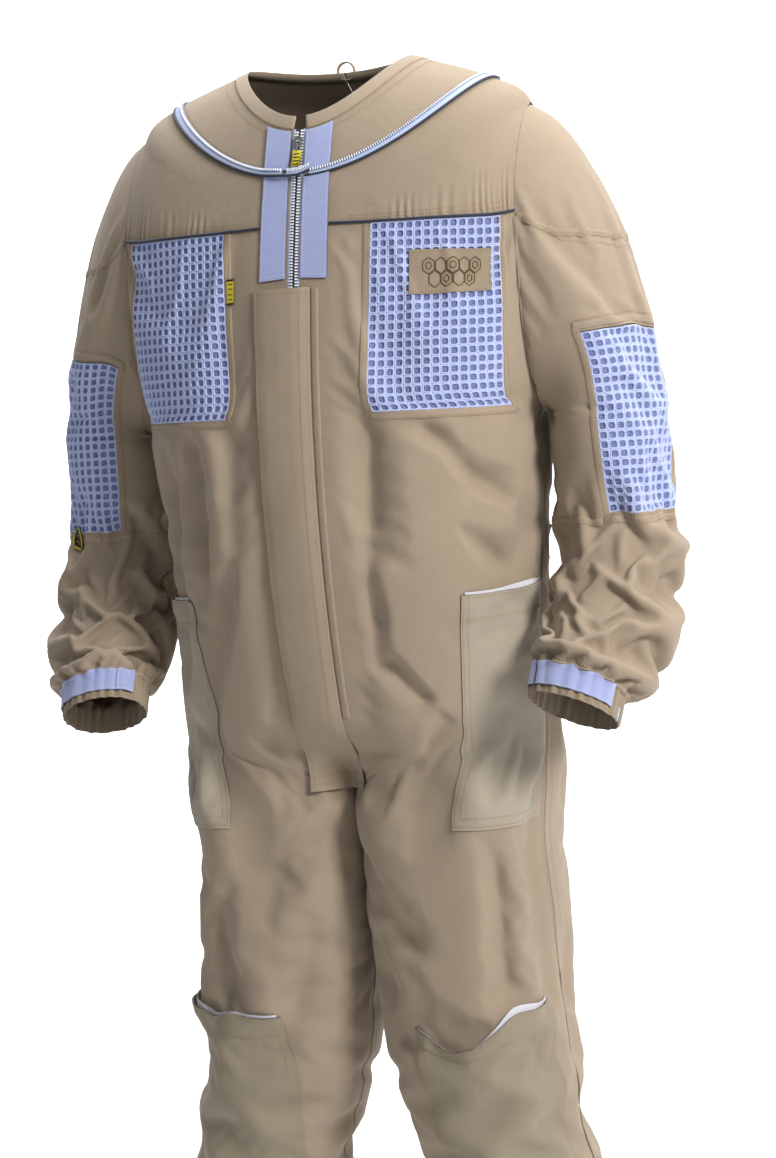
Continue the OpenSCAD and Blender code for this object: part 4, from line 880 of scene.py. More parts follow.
# ------------------------------------------------------------------ seams: raised laps and stitch rows
for s in SIDES:
    G, H = GB[s], GS[s]
    sew = Batch(); lap = Batch()
    edge_f = [(.4985, v) for v in np.linspace(5.0, VS, 60)]
    def seam(path_, w=8, rows_=(-2.6, 2.6), zone_batch=lap, sb=sew, g=G, axis="v"):
        zone_batch.sweep(g, path_, ribbon(w, .75))
        for r in rows_:
            d = r/(600. if axis == "v" else 85.)
            sb.stitch(g, offset_path(path_, d if axis == "v" else 0, 0 if axis == "v" else d), off=.85)
    # chest opening border
    seam([(MA-.006, 3.02), (MA-.006, MV+.05)])
    seam([(MA-.006, MV+.045), (MO+.006, MV+.045)], axis="a"); seam([(MO+.006, 3.02), (MO+.006, MV+.05)])
    # side seam below the armhole
    seam(edge_f)
    # yoke seam, front
    sew.stitch(G, [(.085, 2.93), (.497, 2.93)], off=.3); sew.stitch(G, [(.085, 2.87), (.497, 2.87)], off=.3)
    # front edge beside the zip
    sew.stitch(G, [(.012, 3.7), (.012, 9.2)], off=.3)
    lap.put("front_seams_"+s, "TH", s, M["khaki"]); sew.put("front_stitching_"+s, "TH", s, M["thread"])
    # back seams
    sew = Batch(); lap = Batch()
    seam([(.716, 3.25), (.716, 5.35)], zone_batch=lap, sb=sew); seam([(.716, 5.35), (.9995, 5.35)], zone_batch=lap, sb=sew, axis="a"); seam([(.716, 3.25), (.9995, 3.25)], zone_batch=lap, sb=sew, axis="a")
    seam([(.9975, 5.4), (.9975, 9.8)], zone_batch=lap, sb=sew, w=7)
    sew.stitch(G, [(.503, 2.93), (.999, 2.93)], off=.3)
    lap.put("back_seams_"+s, "TH", s, M["khaki"]); sew.put("back_stitching_"+s, "TH", s, M["thread"])
    # legs: inseam and outer seam
    sew = Batch(); lap = Batch()
    seam([(.5, VS), (.5, 15.0)], zone_batch=lap, sb=sew); seam([(.003, VS), (.003, 16.9)], zone_batch=lap, sb=sew, w=7)
    lap.sweep(G, [(.0, 16.98), (.5, 16.98), (.999, 16.98)], ribbon(6, 1.2)); sew.stitch(G, [(.0, 16.9), (.999, 16.9)], off=.5)
    lap.put("leg_seams_"+s, "SK", s, M["khaki"]); sew.put("leg_stitching_"+s, "SK", s, M["thread"])
    sew = Batch(); lap = Batch()
    seam([(.004, 10.1), (.004, VS)], zone_batch=lap, sb=sew, w=7); seam([(.002, 9.3), (.002, 10.05)], zone_batch=lap, sb=sew, w=6)
    lap.put("inseam_top_"+s, "TH", s, M["khaki"]); sew.put("inseam_stitching_"+s, "TH", s, M["thread"])
    # armhole and sleeve seams
    u = np.linspace(0, 1, 90)
    sew = Batch(); lap = Batch()
    u0, u1 = MU[s]; e_ = .006; back = lambda pts: [(a, float(np.interp(v, H.PV[:, int(round(a % 1*96)) % 96], H.vv))) for a, v in pts]
    low = [(x, -.985) for x in np.linspace(.5, 1.035, 60)]
    lap.sweep(H, [(x, -.998) for x in np.linspace(.28, .74, 60)], ribbon(6, .6)); lap.sweep(H, low, ribbon(5, .7)); sew.stitch(H, [(x, -.965) for x in np.linspace(.5, 1.035, 60)], off=.3)
    drop = back(zip(np.interp(np.linspace(0, 1, 60), np.linspace(0, 1, 12), [.035, .05, .08, .12, .16, .2, .25, .3, .35, .42, .47, .5]), np.interp(np.linspace(0, 1, 60), np.linspace(0, 1, 12), [-.985, -.80, -.66, -.57, -.51, -.46, -.44, -.46, -.54, -.7, -.85, -.985])))
    lap.sweep(H, drop, ribbon(7, .8)); sew.stitch(H, drop, off=.9); sew.stitch(H, [(a, v+.035) for a, v in drop], off=.35)
    for pth, ax in ((([(u0-e_, MT-.015), (u0-e_, SP)]), "v"), (([(u1+e_, MT-.015), (u1+e_, SP)]), "v"), (([(u0-.01, MT-.02), (u1+.01, MT-.02)]), "a")):
        seam(pth, g=H, zone_batch=lap, sb=sew, axis=ax, w=7, rows_=(-1.8, 1.8))
    seam([(.75, -.9), (.75, SP)], g=H, zone_batch=lap, sb=sew, w=6, rows_=(-1.6, 1.6))
    lap.put("sleeve_seams_"+s, "SU", s, M["khaki"]); sew.put("sleeve_stitching_"+s, "SU", s, M["thread"])
    sew = Batch(); lap = Batch()
    lap.sweep(H, [(x, EL+.02) for x in u], ribbon(7, .9)); sew.stitch(H, [(x, EL+.09) for x in u], off=.4); sew.stitch(H, [(x, EL+.02) for x in u], off=.95)
    lap.sweep(H, [(x, 6.08) for x in u], ribbon(5, 1.6)); sew.stitch(H, [(x, 6.9) for x in u], off=2.4)
    for pth, ax in (([(u0-e_, SP), (u0-e_, ME+.03)], "v"), ([(u1+e_, SP), (u1+e_, ME+.03)], "v"), ([(u0-.01, ME+.03), (u1+.01, ME+.03)], "a")):
        seam(pth, g=H, zone_batch=lap, sb=sew, axis=ax, w=7, rows_=(-1.8, 1.8))
    seam([(.75, SP), (.75, 6.0)], g=H, zone_batch=lap, sb=sew, w=6, rows_=(-1.6, 1.6))
    lap.put("forearm_seams_"+s, "SF", s, M["khaki"]); sew.put("forearm_stitching_"+s, "SF", s, M["thread"])

# ------------------------------------------------------------------ free-form patches on the cloth
def patch(G, A, V, o=1., t=1., uvs=None):
    """double layer over arrays of coordinates A, V; returns P, F, N, uv, v"""
    A, V = np.broadcast_arrays(np.asarray(A, float), np.asarray(V, float)); nv, nu = A.shape
    P = G.at(A, V); N = G.nor(A, V)
    return slab(P+N*(np.asarray(o)[..., None] if np.ndim(o) else o), N, t, G.uv(A, V) if uvs is None else uvs)+(np.concatenate([G.pv(A, V).ravel()]*2),)
def slab(P, N, t, uv=None):
    nv, nu = P.shape[:2]; n = nv*nu; idx = np.arange(n).reshape(nv, nu)
    du = np.gradient(P, axis=1); dv = np.gradient(P, axis=0); Nn = np.cross(dv, du); Nn /= np.maximum(np.linalg.norm(Nn, axis=-1, keepdims=True), 1e-9)
    if np.sum(Nn*N) < 0: Nn = -Nn
    Q = P-Nn*(np.asarray(t)[..., None] if np.ndim(t) else t)
    q = np.stack([idx[:-1, :-1], idx[1:, :-1], idx[1:, 1:], idx[:-1, 1:]], -1).reshape(-1, 4)
    g = np.cross(P[1, 0]-P[0, 0], P[0, 1]-P[0, 0])
    r = np.concatenate([idx[0, :], idx[1:, -1], idx[-1, :-1][::-1], idx[1:-1, 0][::-1]]); r2 = np.roll(r, -1)
    rim = np.stack([r, r2, r2+n, r+n], -1)
    F = np.concatenate([q, q[:, ::-1]+n, rim])
    if uv is None:
        cu = np.concatenate([np.zeros((nv, 1)), np.cumsum(np.linalg.norm(np.diff(P, axis=1), axis=-1), 1)], 1); cv = np.concatenate([np.zeros((1, nu)), np.cumsum(np.linalg.norm(np.diff(P, axis=0), axis=-1), 0)], 0)
        uv = np.stack([cu, cv], -1)
    return np.concatenate([P.reshape(-1, 3), Q.reshape(-1, 3)]), F, np.concatenate([Nn.reshape(-1, 3), -Nn.reshape(-1, 3)]), np.concatenate([uv.reshape(-1, 2)]*2)
def put_patch(name, q, zone, side, mat, slot="khaki", rep=()):
    P, F, N, uv, V = q
    return put(name, P, F, zone, side, mat, N, uv, V, slot, rep)
def xpath(pts):
    """front points (x, v) as (a, v): x in mm from the middle, a from the zip edge"""
    out = []
    for x, v in pts:
        u0 = float(ux(FX, np.array(min(v, 9.)), True)); u1 = float(ua(np.array(v), True)); u = float(ux(x, np.array(min(v, 9.)), True))
        out.append(((u-u0)/max(2*(u1-u0), 1e-6), v))
    return out
def xpatch(G, x0, x1, nx, vs, o, t):
    vs = np.asarray(vs, float); x = np.linspace(x0, x1, nx)
    A = np.array([[xpath([(q, v)])[0][0] for q in x] for v in vs]); V = np.repeat(vs[:, None], nx, 1)
    return patch(G, A, V, o, t)

# front surface height, for what lies over the middle
_gx, _gz = np.arange(-70, 71, 2.), np.arange(-100, -821, -2.)
def _height():
    Y = np.full((len(_gz), len(_gx)), np.inf)
    for s in SIDES:
        A, V = np.meshgrid(np.linspace(0, .42, 260), np.linspace(.8, 11., 900)); P = GB[s].at(A, V).reshape(-1, 3)
        x = P[:, 0]*(1 if s == "left" else -1); i = np.round((_gz[0]-P[:, 2])/2).astype(int); j = np.round((x-_gx[0])/2).astype(int)
        k = (i >= 0) & (i < len(_gz)) & (j >= 0) & (j < len(_gx)) & (P[:, 1] < 40); np.minimum.at(Y, (i[k], j[k]), P[k, 1])
    for r in range(len(_gz)):
        ok = np.isfinite(Y[r])
        if ok.sum() > 3: Y[r] = np.interp(_gx, _gx[ok], Y[r][ok])
    bad = ~np.isfinite(Y[:, 0])
    if bad.any(): Y[bad] = Y[np.where(~bad)[0][0]]
    return Y
_Y0 = _height()
def _blur(Y, n, ax):
    for _ in range(n):
        Z = np.concatenate([Y.take([0], ax), Y, Y.take([-1], ax)], ax); m = Y.shape[ax]
        Y = .5*Y+.25*(Z.take(range(m), ax)+Z.take(range(2, m+2), ax))
    return Y
_YS = _blur(_blur(_Y0, 30, 0), 10, 1)
def hmap(Y, x, z):
    x, z = np.broadcast_arrays(np.asarray(x, float), np.asarray(z, float))
    fi = np.clip((_gz[0]-z)/2, 0, len(_gz)-1.001); fj = np.clip((x-_gx[0])/2, 0, len(_gx)-1.001); i = fi.astype(int); j = fj.astype(int); p = fi-i; q = fj-j
    return Y[i, j]*(1-p)*(1-q)+Y[i+1, j]*p*(1-q)+Y[i, j+1]*(1-p)*q+Y[i+1, j+1]*p*q

# ------------------------------------------------------------------ neck: collar, ring zip, front zip
M["shade"] = plain("zip_coil_shade", (112, 124, 158), .8, bump=.3, scale=1500, var=.2)
def ringlift(s, a): return (4.7 if s == "right" else 0.)*(1-sst(a, .012, .075))
class Lifted:
    """the same cloth, raised where the ring zip's far half laps over the middle"""
    def __init__(s, G, side): s.G, s.side = G, side
    def at(s, a, v, off=0.): return s.G.at(a, v, off+ringlift(s.side, np.asarray(a, float)))
    def nor(s, a, v): return s.G.nor(a, v)
for s in SIDES:
    G = GB[s]; L = s == "left"
    vl = np.unique(np.concatenate([np.linspace(0, 1.16, 26)])); al = np.unique(np.concatenate([lines_of(G.av, 0, .4999999), G.av[G.av > .5000001]]))
    put_cloth("collar_cloth_"+s, G, al, vl, "T", s, M["khaki"], rep=["collar_band"] if L else ())
    b = Batch(); full = [(x, .0) for x in np.linspace(0.0, 1., 60)]
    b.sweep(G, [(x, .02) for x in np.linspace(.001, 1., 60)], [(-1.0, -1.4), (-1.5, -.4), (-1.2, .75), (-.6, .95), (.6, .9), (12.0, .62), (12.5, .5), (12.7, -.2)])
    b.put("neck_hem_"+s, "T", s, M["khaki"])
    b = Batch(); b.stitch(G, [(x, .185) for x in np.linspace(.004, 1., 60)], off=.85); b.stitch(G, [(x, .055) for x in np.linspace(.004, 1., 60)], off=1.05); b.stitch(G, [(.012, .16), (.012, .84)], off=.3)
    b.stitch(G, [(x, .885) for x in np.linspace(.01, 1., 60)], off=.3); b.stitch(G, [(x, 1.165) for x in np.linspace(.03, 1., 60)], off=.3)
    b.put("neck_stitching_"+s, "T", s, M["thread"])
    e = .9999; RG = Lifted(G, s)
    # ring: woven tape, teeth at its upper edge, dark piping at the lower one
    put_cloth("ring_tape_"+s, G, np.linspace(.012, e, 150), np.linspace(.922, 1.09, 7), "T", s, M["white"], "white", ["neck_zip_tape"] if L else (), o=np.array([1.5, 1.75, 1.8, 1.8, 1.8, 1.75, 1.6])[:, None]+ringlift(s, np.linspace(.012, e, 150))[None], t=.8)
    b = Batch(); b.sweep(RG, [(x, .958) for x in np.linspace(.016, e, 90)], ribbon(3.4, .25), off=1.8); b.put("ring_coil_"+s, "T", s, M["shade"], "white")
    b = Batch(); b.stitch(RG, [(x, .958) for x in np.linspace(.016, e, 90)], off=2.0, pitch=2.5, length=1.35, r=1.5)
    b.put("ring_teeth_"+s, "T", s, M["teeth"], "teeth", ["neck_zip_teeth"] if L else ())
    b = Batch(); b.sweep(RG, [(x, 1.108) for x in np.linspace(.004, e, 90)], circ(1.5, 10), off=1.5)
    b.put("ring_piping_"+s, "T", s, M["navy"], "navy", ["neck_zip_piping"] if L else ())
    b = Batch(); b.stitch(RG, [(x, 1.065) for x in np.linspace(.016, e, 90)], off=1.8, pitch=2.8, length=1.9, r=.3); b.stitch(RG, [(x, .928) for x in np.linspace(.016, e, 90)], off=1.6, pitch=2.8, length=1.9, r=.3)
    b.put("ring_stitching_"+s, "T", s, M["threadw"], "white")

# front zip: an arc in the middle plane
def zarc(z): return AY-np.sqrt(AR*AR-(np.asarray(z, float)-AZ)**2)
def mid_strip(x0, x1, nx, z0, z1, nz, off, t, bulge=0.):
    z = np.linspace(z0, z1, nz); X, Z = np.meshgrid(np.linspace(x0, x1, nx), z); rad = np.stack([0*Z, zarc(Z)-AY, Z-AZ], -1)/AR
    P = np.stack([X, zarc(Z), Z], -1)+rad*(off+bulge*np.sin(np.pi*(X-x0)/(x1-x0)))[..., None]
    return slab(P, rad, t)
def mid_put(name, q, mat, slot, rep=(), side="left"):
    P, F, N, uv = q; return put(name, P, F, "T", side, mat, N, uv, None, slot, rep)
for s in SIDES:
    L = s == "left"
    q = mid_strip(4.3, 7.6, 5, -61.5, -637, 260, -.55, .8); mid_put("front_zip_tape_"+s, q, M["white"], "white", ["front_zip_tape"] if L else (), s)
    # moulded teeth, every other one per side
    n = int((637-64)/2.9); z = -64-np.arange(n)*2.9-(0 if L else 1.45); k = z > -636.5; z = z[k]
    y = zarc(z); prof = np.array([(1.15, -.6), (4.9, -.6), (4.9, .55), (3.2, .8), (1.9, 1.1), (1.15, .8)]); h = .72
    rad = np.stack([0*z, y-AY, z-AZ], -1)/AR; tan = np.stack([0*z, -rad[:, 2], rad[:, 1]], -1)
    C = np.stack([0*z, y, z], -1); m = len(prof)
    V = np.stack([C[:, None]+np.array([1, 0, 0])*prof[None, :, 0, None]+rad[:, None]*(prof[None, :, 1, None]-.1)+tan[:, None]*(sg_*h) for sg_ in (-1, 1)], 1)
    idx = np.arange(len(z))[:, None]*2*m; i = np.arange(m); j = (i+1) % m
    F4 = (np.stack([i, j, j+m, i+m], -1)[None]+idx[..., None]).reshape(-1, 4); Fn = [np.concatenate([(np.arange(m)[::-1])[None]+idx, (np.arange(m)+m)[None]+idx])]
    put("front_zip_teeth_"+s, V.reshape(-1, 3), [F4, Fn[0]], "T", s, M["teeth"], None, None, None, "teeth", ["front_zip_teeth"] if L else (), smooth=False, flip=True)
q = mid_strip(-4.8, 4.8, 5, -62, -636.5, 240, -.75, .7); mid_put("front_zip_centre", q, M["navy"], "navy")

for s in SIDES:
    G = GB[s]
    p1 = xpatch(G, 7.8, 34.2, 9, np.linspace(.10, .92, 16), 2.3, 1.2); p2 = xpatch(G, 7.8, 34.2, 9, np.linspace(1.10, 3.62, 46), 2.3, 1.2)
    P, F, U = join_parts([(p1[0], p1[1], p1[3]), (p2[0], p2[1], p2[3])])
    put("hook_strip_"+s, P, F, "T", s, M["loop"], np.concatenate([p1[2], p2[2]]), U, None, "loop", ["hook_strip_"+s])
    b = Batch()
    for x in (9.6, 32.4): b.stitch(G, xpath([(x, v) for v in np.linspace(1.14, 3.58, 22)]), off=2.35, pitch=3., length=2.1, r=.3); b.stitch(G, xpath([(x, v) for v in np.linspace(.14, .90, 8)]), off=2.35, pitch=3., length=2.1, r=.3)
    for v in (3.585, .135): b.stitch(G, xpath([(x, v) for x in np.linspace(10, 32, 6)]), off=2.35, pitch=3., length=2.1, r=.3)
    b.put("hook_strip_stitching_"+s, "T", s, M["threadw"], "loop")
    # yoke piping
    b = Batch(); b.sweep(G, [(x, 3.0) for x in np.linspace(xpath([(35.4, 3.)])[0][0], .498, 50)], circ(1.6, 10), off=1.3); b.sweep(G, [(x, 3.0) for x in np.linspace(.502, .9998, 40)], circ(1.55, 10), off=1.3)
    b.put("yoke_piping_"+s, "T", s, M["navy"], "navy", ["yoke_piping"] if s == "left" else ())
# loose end of the ring tape, lapped over the middle
rows_v = np.linspace(.922, 1.09, 7); xs_ = np.linspace(-8.6, 15.5, 22); GR = GB["right"]
a8 = np.full(7, .0135); Q = GR.at(a8, rows_v, 1.7+ringlift("right", a8)); Q[:, 0] *= -1
x_ = np.concatenate([xs_]); P = np.zeros((7, len(x_), 3))
for k_ in range(7):
    P[k_, :, 0] = x_; P[k_, :, 2] = Q[k_, 2]+4.2*np.clip((x_-1)/15, 0, 1)**1.6; P[k_, :, 1] = Q[k_, 1]-.35*np.sin(np.pi*np.clip((x_+8.6)/24, 0, 1))-.4*sst(x_, -8.6, 0)+.2
mid_put("ring_tape_end", slab(P, np.broadcast_to([0., -1, 0], P.shape), .8), M["white"], "white", ["neck_zip_tab"])
edge = P[-1]+[0, -.3, -1.1]; T = np.gradient(edge, axis=0); T /= np.linalg.norm(T, axis=1, keepdims=True)
q = section(edge, np.broadcast_to([0., -1, 0], edge.shape), T, circ(1.3, 8)); put("ring_piping_end", q[0], q[1], "T", "left", M["navy"], None, q[2], None, "navy")
edge = P[1]*.45+P[2]*.55+[0, -.3, 0]; edge = edge[1:-1]
d_ = np.linspace(0, 1, 10); tt = np.linspace(0, 1, len(edge)); C = np.stack([np.interp(d_, tt, edge[:, k]) for k in range(3)], -1); b_ = []
for c_ in C:
    bx = np.array([[x, y, z] for x in (-.7, .7) for y in (-.9, .2) for z in (-1.5, 1.5)])+c_; b_.append((bx, np.array([(0, 1, 3, 2), (4, 6, 7, 5), (0, 4, 5, 1), (2, 3, 7, 6), (0, 2, 6, 4), (1, 5, 7, 3)])))
P_, F_, U_ = join_parts(b_); put("ring_teeth_end", P_, F_, "T", "left", M["teeth"], None, U_, None, "teeth", smooth=False)

# ------------------------------------------------------------------ storm flap
M["pocket"] = twill("khaki_twill_pocket", (162, 152, 136), crease=.14); M["pocket_low"] = twill("khaki_twill_knee_pocket", (144, 133, 114), crease=.2)
def flap_pt(X, Z, lift=0.):
    """outer face of the flap over the closed zip"""
    t = np.clip((-217-Z)/498, 0, 1)
    h = np.interp(X, [-41, -37, -28, -14, 0, 8, 14, 17.6], [3.4, 4.3, 5.7, 6.4, 6.2, 5.0, 3.0, 1.5])
    wav = .7*np.sin(Z/31.+.4)*sst(-X, 8, 40)+.45*np.sin(Z/13.+1.9)*sst(-X, 15, 41)
    return hmap(_YS, X, Z)-h-.0*t-wav-lift
nx, nz = 26, 240
t = np.linspace(0, 1, nz); X0 = np.linspace(-41, 17.6, nx)
X, T = np.meshgrid(X0, t); Z = -217.-498*T
Xw = X+.9*np.sin(T*9.)*sst(-X, 20, 41)+8.*T*sst(-X, -5, 41)
P = np.stack([Xw, flap_pt(Xw, Z), Z], -1); Nf = np.broadcast_to([0., -1, 0], P.shape)
q = slab(P, Nf, 1.4); o = make("storm_flap_cloth", q[0], q[1], "left", M["khaki"], q[2], q[3])
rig.blend(o, "torso", "flap", (.0168, 0, -.4), (.006, 0, -.4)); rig.slot(o, "khaki"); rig.replaces(o, "storm_flap"); FLAP = o
def flap_rows(name, rows_, mat, kind="stitch", body_="flap"):
    b = []
    for x0, z0, x1, z1 in rows_:
        m = 200; x = np.linspace(x0, x1, m); z = np.linspace(z0, z1, m); P = np.stack([x, flap_pt(x, z), z], -1)
        n = np.stack([np.gradient(flap_pt(x+1, z)-flap_pt(x-1, z))*0+(flap_pt(x+1, z)-flap_pt(x-1, z))/2, 0*x-1, 0*x], -1); n /= np.linalg.norm(n, axis=1, keepdims=True)
        G_ = lambda pts, P=P, n=n: (P, n)
        qq = stitches(G_, np.stack([x, z], -1), off=.1) if kind == "stitch" else None
        if qq: b.append((qq[0], qq[1], qq[2]))
    P, F, U = join_parts(b); o = make(name, P, F, "left", mat, None, U)
    if body_ == "blend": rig.blend(o, "torso", "flap", (.0168, 0, -.4), (.006, 0, -.4))
    else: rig.ride(o, body_)
    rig.slot(o, "khaki"); return o
flap_rows("flap_stitching_edge", [(-35, -221, -28.2, -711)], M["thread"], body_="blend")
flap_rows("flap_stitching_seam", [(15.2, -221, 15.2, -711), (7.6, -221, 7.6, -711), (-34, -222, 14, -222), (-27, -708, 14, -708), (-27, -700, 14, -700)], M["thread"], body_="blend")
# lap of cloth along the sewn side, stitched down to the front
for s in ("left",):
    G = GB[s]; b = Batch()
    vz = lambda z: float(np.interp(-z, -cr(TOR, 1, np.linspace(2, 9.9, 400)), np.linspace(2, 9.9, 400)))
    xs = np.linspace(-217, -636, 60)
    b.sweep(G, xpath([(21.5, vz(z)) for z in xs]), ribbon(7, .9)); b.stitch(G, xpath([(22.6, vz(z)) for z in xs]), off=1.)
    b.put("flap_seam_lap", "TH", s, M["khaki"])

# ------------------------------------------------------------------ patch pockets
def pocket(name, G, a0, a1, v0, v1, zone, side, node, gape, dip, sa, seed, skew=lambda T: 0.*T):
    """a sewn-on pocket: its top edge stands away from the cloth and shows its lining"""
    na, nv = 44, 70; S, T = np.meshgrid(np.linspace(0, 1, na), np.linspace(0, 1, nv))
    A = a0+(a1-a0)*S+skew(T)*(1-S); V = v0+(v1-v0)*T+dip(S)*(1-T)**2
    edge = np.minimum(np.minimum(S, 1-S)*(a1-a0)*sa, (1-T)*(v1-v0)*85)
    rise = np.sin(np.pi*S)**.8*gape*np.exp(-(T/.14)**1.3)+1.6*np.sin(np.pi*S)*np.sin(np.pi*np.clip(T, 0, 1))
    wr = (vnoise((nv, na), (13, 9), seed)-.0)*1.2*np.clip(edge/40, 0, 1)
    base = 1.35+rise+wr*(.4+.6*T)
    A2, V2 = A, V
    mat = M["pocket_low" if name == "knee_pocket" else "pocket"]
    q = patch(G, A2, V2, base, .9); put_patch(name+"_"+side, q, zone, side, mat, rep=[node])
    # hem at the opening
    b = Batch(); top = list(zip(A[0], V[0]))
    hem = patch(G, A[:9], V[:9], base[:9]+.45+.5*np.exp(-T[:9]/.01), 1.6); put_patch(name+"_hem_"+side, hem, zone, side, mat)
    # lining behind the opening
    T3 = np.linspace(-.012, .10, 8)[:, None]; S3 = np.linspace(.03, .97, 40)[None]; sh = np.clip(np.sin(np.pi*np.clip((S3-.42)/.5, 0, 1)), 0, 1)
    A3 = a0+(a1-a0)*S3+skew(np.clip(T3, 0, 1))*(1-S3); V3 = v0+(v1-v0)*T3+dip(S3)*(1-T3)**2-.03*sh
    r3 = .9+np.sin(np.pi*S3)**.8*gape*.55*np.exp(-(np.clip(T3, 0, 1)/.14)**1.3)
    put_patch(name+"_lining_"+side, patch(G, A3, V3, r3, .5), zone, side, M["lining"], "white")
    sew = Batch(); f = lambda s_, t_: (a0+(a1-a0)*s_+float(skew(np.array(t_)))*(1-s_), v0+(v1-v0)*t_+float(dip(np.array(s_)))*(1-t_)**2)
    def off_at(pts):
        pts = np.asarray(pts); s_ = pts[:, 0]; t_ = pts[:, 1]
        i = np.clip(t_*(nv-1), 0, nv-1.001); j = np.clip(s_*(na-1), 0, na-1.001); ii = i.astype(int); jj = j.astype(int); p = i-ii; r = j-jj
        B_ = base+np.where(T < .115, .5, 0.)
        return B_[ii, jj]*(1-p)*(1-r)+B_[ii+1, jj]*p*(1-r)+B_[ii, jj+1]*(1-p)*r+B_[ii+1, jj+1]*p*r
    es = 2.6/((a1-a0)*sa); et = 2.6/((v1-v0)*85)
    rows_ = [[(es, et), (es, 1-et), (1-es, 1-et), (1-es, et)], [(es*3.4, et), (es*3.4, 1-et*3.4), (1-es*3.4, 1-et*3.4), (1-es*3.4, et)], [(es, .105), (1-es, .105)], [(es, .012), (1-es, .012)]]
    for r_ in rows_:
        d = np.concatenate([np.array(p_)+(np.array(q_)-np.array(p_))*np.linspace(0, 1, 70, endpoint=False)[:, None] for p_, q_ in zip(r_[:-1], r_[1:])]+[np.array([r_[-1]])])
        av = np.array([f(*x) for x in d]); of = off_at(d); Pp = G.at(av[:, 0], av[:, 1], of+.1); Nn = G.nor(av[:, 0], av[:, 1])
        qq = stitches(lambda pts, Pp=Pp, Nn=Nn: (Pp, Nn), av, off=0.)
        sew.p.append((qq[0], qq[1], qq[2])); sew.v.append(qq[3])
    sew.put(name+"_stitching_"+side, zone, side, M["thread"])
for s in SIDES:
    G = GB[s]
    pocket("hip_pocket", G, .243, .490, 7.42, 10.12, "TH", s, "hip_pocket_"+s, 4.0, lambda S: .03*np.sin(np.pi*S)+.07*(1-S), 640., 41 if s == "left" else 52, lambda T: np.interp(7.42+2.7*T, [7.42, 8, 8.4, 8.8, 9, 9.2, 9.4, 9.6, 9.8, 10.12], [0, -.008, -.014, -.020, -.024, -.012, .007, .016, .022, .024]))
    pocket("knee_pocket", G, .185, .455, 11.85, 14.25, "SK", s, "knee_pocket_"+s, 8.5, (lambda S: .46*np.exp(-((S-.27)/.2)**2)+.04*(1-S)-.12*S) if s == "left" else (lambda S: .16*np.exp(-((S-.55)/.3)**2)+.02*(1-S)-.22*S), 560., 61 if s == "left" else 72, (lambda T: 0.*T) if s == "left" else (lambda T: .025-.10*T))

# ------------------------------------------------------------------ chest patch, labels
G = GB["left"]
put_patch("chest_patch_cloth", patch(G, np.linspace(.203, .400, 26)[None]+0*np.linspace(0, 1, 14)[:, None], np.linspace(3.37, 3.81, 14)[:, None]+0*np.linspace(0, 1, 26)[None], 2.1, 1.), "T", "left", M["khaki2"], "khaki", ["chest_patch"])
b = Batch()
rect = [(.207, 3.39), (.396, 3.39), (.396, 3.79), (.207, 3.79), (.207, 3.39)]
b.stitch(G, rect, off=2.15, pitch=2.6, length=1.9, r=.32); b.put("chest_patch_stitching", "T", "left", M["thread"])
b = Batch()
def hexa(ca, cv, r, n=6):
    k = np.arange(n+1)*2*np.pi/n+np.pi/6; return [(ca+r*np.cos(x)/500., cv+r*np.sin(x)/90.) for x in k]
for i, (ca, cv) in enumerate([(-28, -4.6), (-14, -4.6), (0, -4.6), (14, -4.6), (28, -4.6), (-21, 7.4), (-7, 7.4), (7, 7.4), (21, 7.4)]):
    c_ = (.301+ca/500., 3.585+cv/90.); b.sweep(G, hexa(*c_, 7.4), circ(.5, 6), off=2.3, step=1.4)
    if i % 2 == 0: b.sweep(G, hexa(*c_, 3.4), circ(.5, 6), off=2.25, step=1.4)
b.put("chest_patch_embroidery", "T", "left", M["olive"])
G = GB["right"]
put_patch("chest_label_cloth", patch(G, np.linspace(.0965, .1165, 6)[None]+0*np.linspace(0, 1, 10)[:, None], np.linspace(3.55, 3.8, 10)[:, None]+0*np.linspace(0, 1, 6)[None], 1.9, 1.), "T", "right", M["yellow"], "label", ["chest_label"])
b = Batch()
for v in (3.6, 3.645, 3.70, 3.745): b.sweep(G, [(.1005, v), (.1125, v)], ribbon(.9, .25), off=1.9)
b.sweep(G, [(.0968, 3.56), (.1162, 3.56)], ribbon(1.8, .3), off=1.9); b.sweep(G, [(.0968, 3.79), (.1162, 3.79)], ribbon(1.8, .3), off=1.9)
b.put("chest_label_weave", "T", "right", M["black"], "label")
H = GS["right"]; A, V = np.meshgrid(np.linspace(.10, .155, 8), np.linspace(1.82, 2.34, 10))
put_patch("sleeve_label_cloth", patch(H, A, V, 2.4, 1.), "SF", "right", M["black"], "label", ["sleeve_label"])
b = Batch(); b.sweep(H, [(.1022, 1.84), (.1022, 2.32), (.1528, 2.32), (.1528, 1.84)], ribbon(2., .3), off=2.4)
for v in (1.97, 2.08, 2.19): b.sweep(H, [(.113, v), (.142, v)], ribbon(1.3, .25), off=2.4)
b.put("sleeve_label_weave", "SF", "right", M["yellow"], "label")

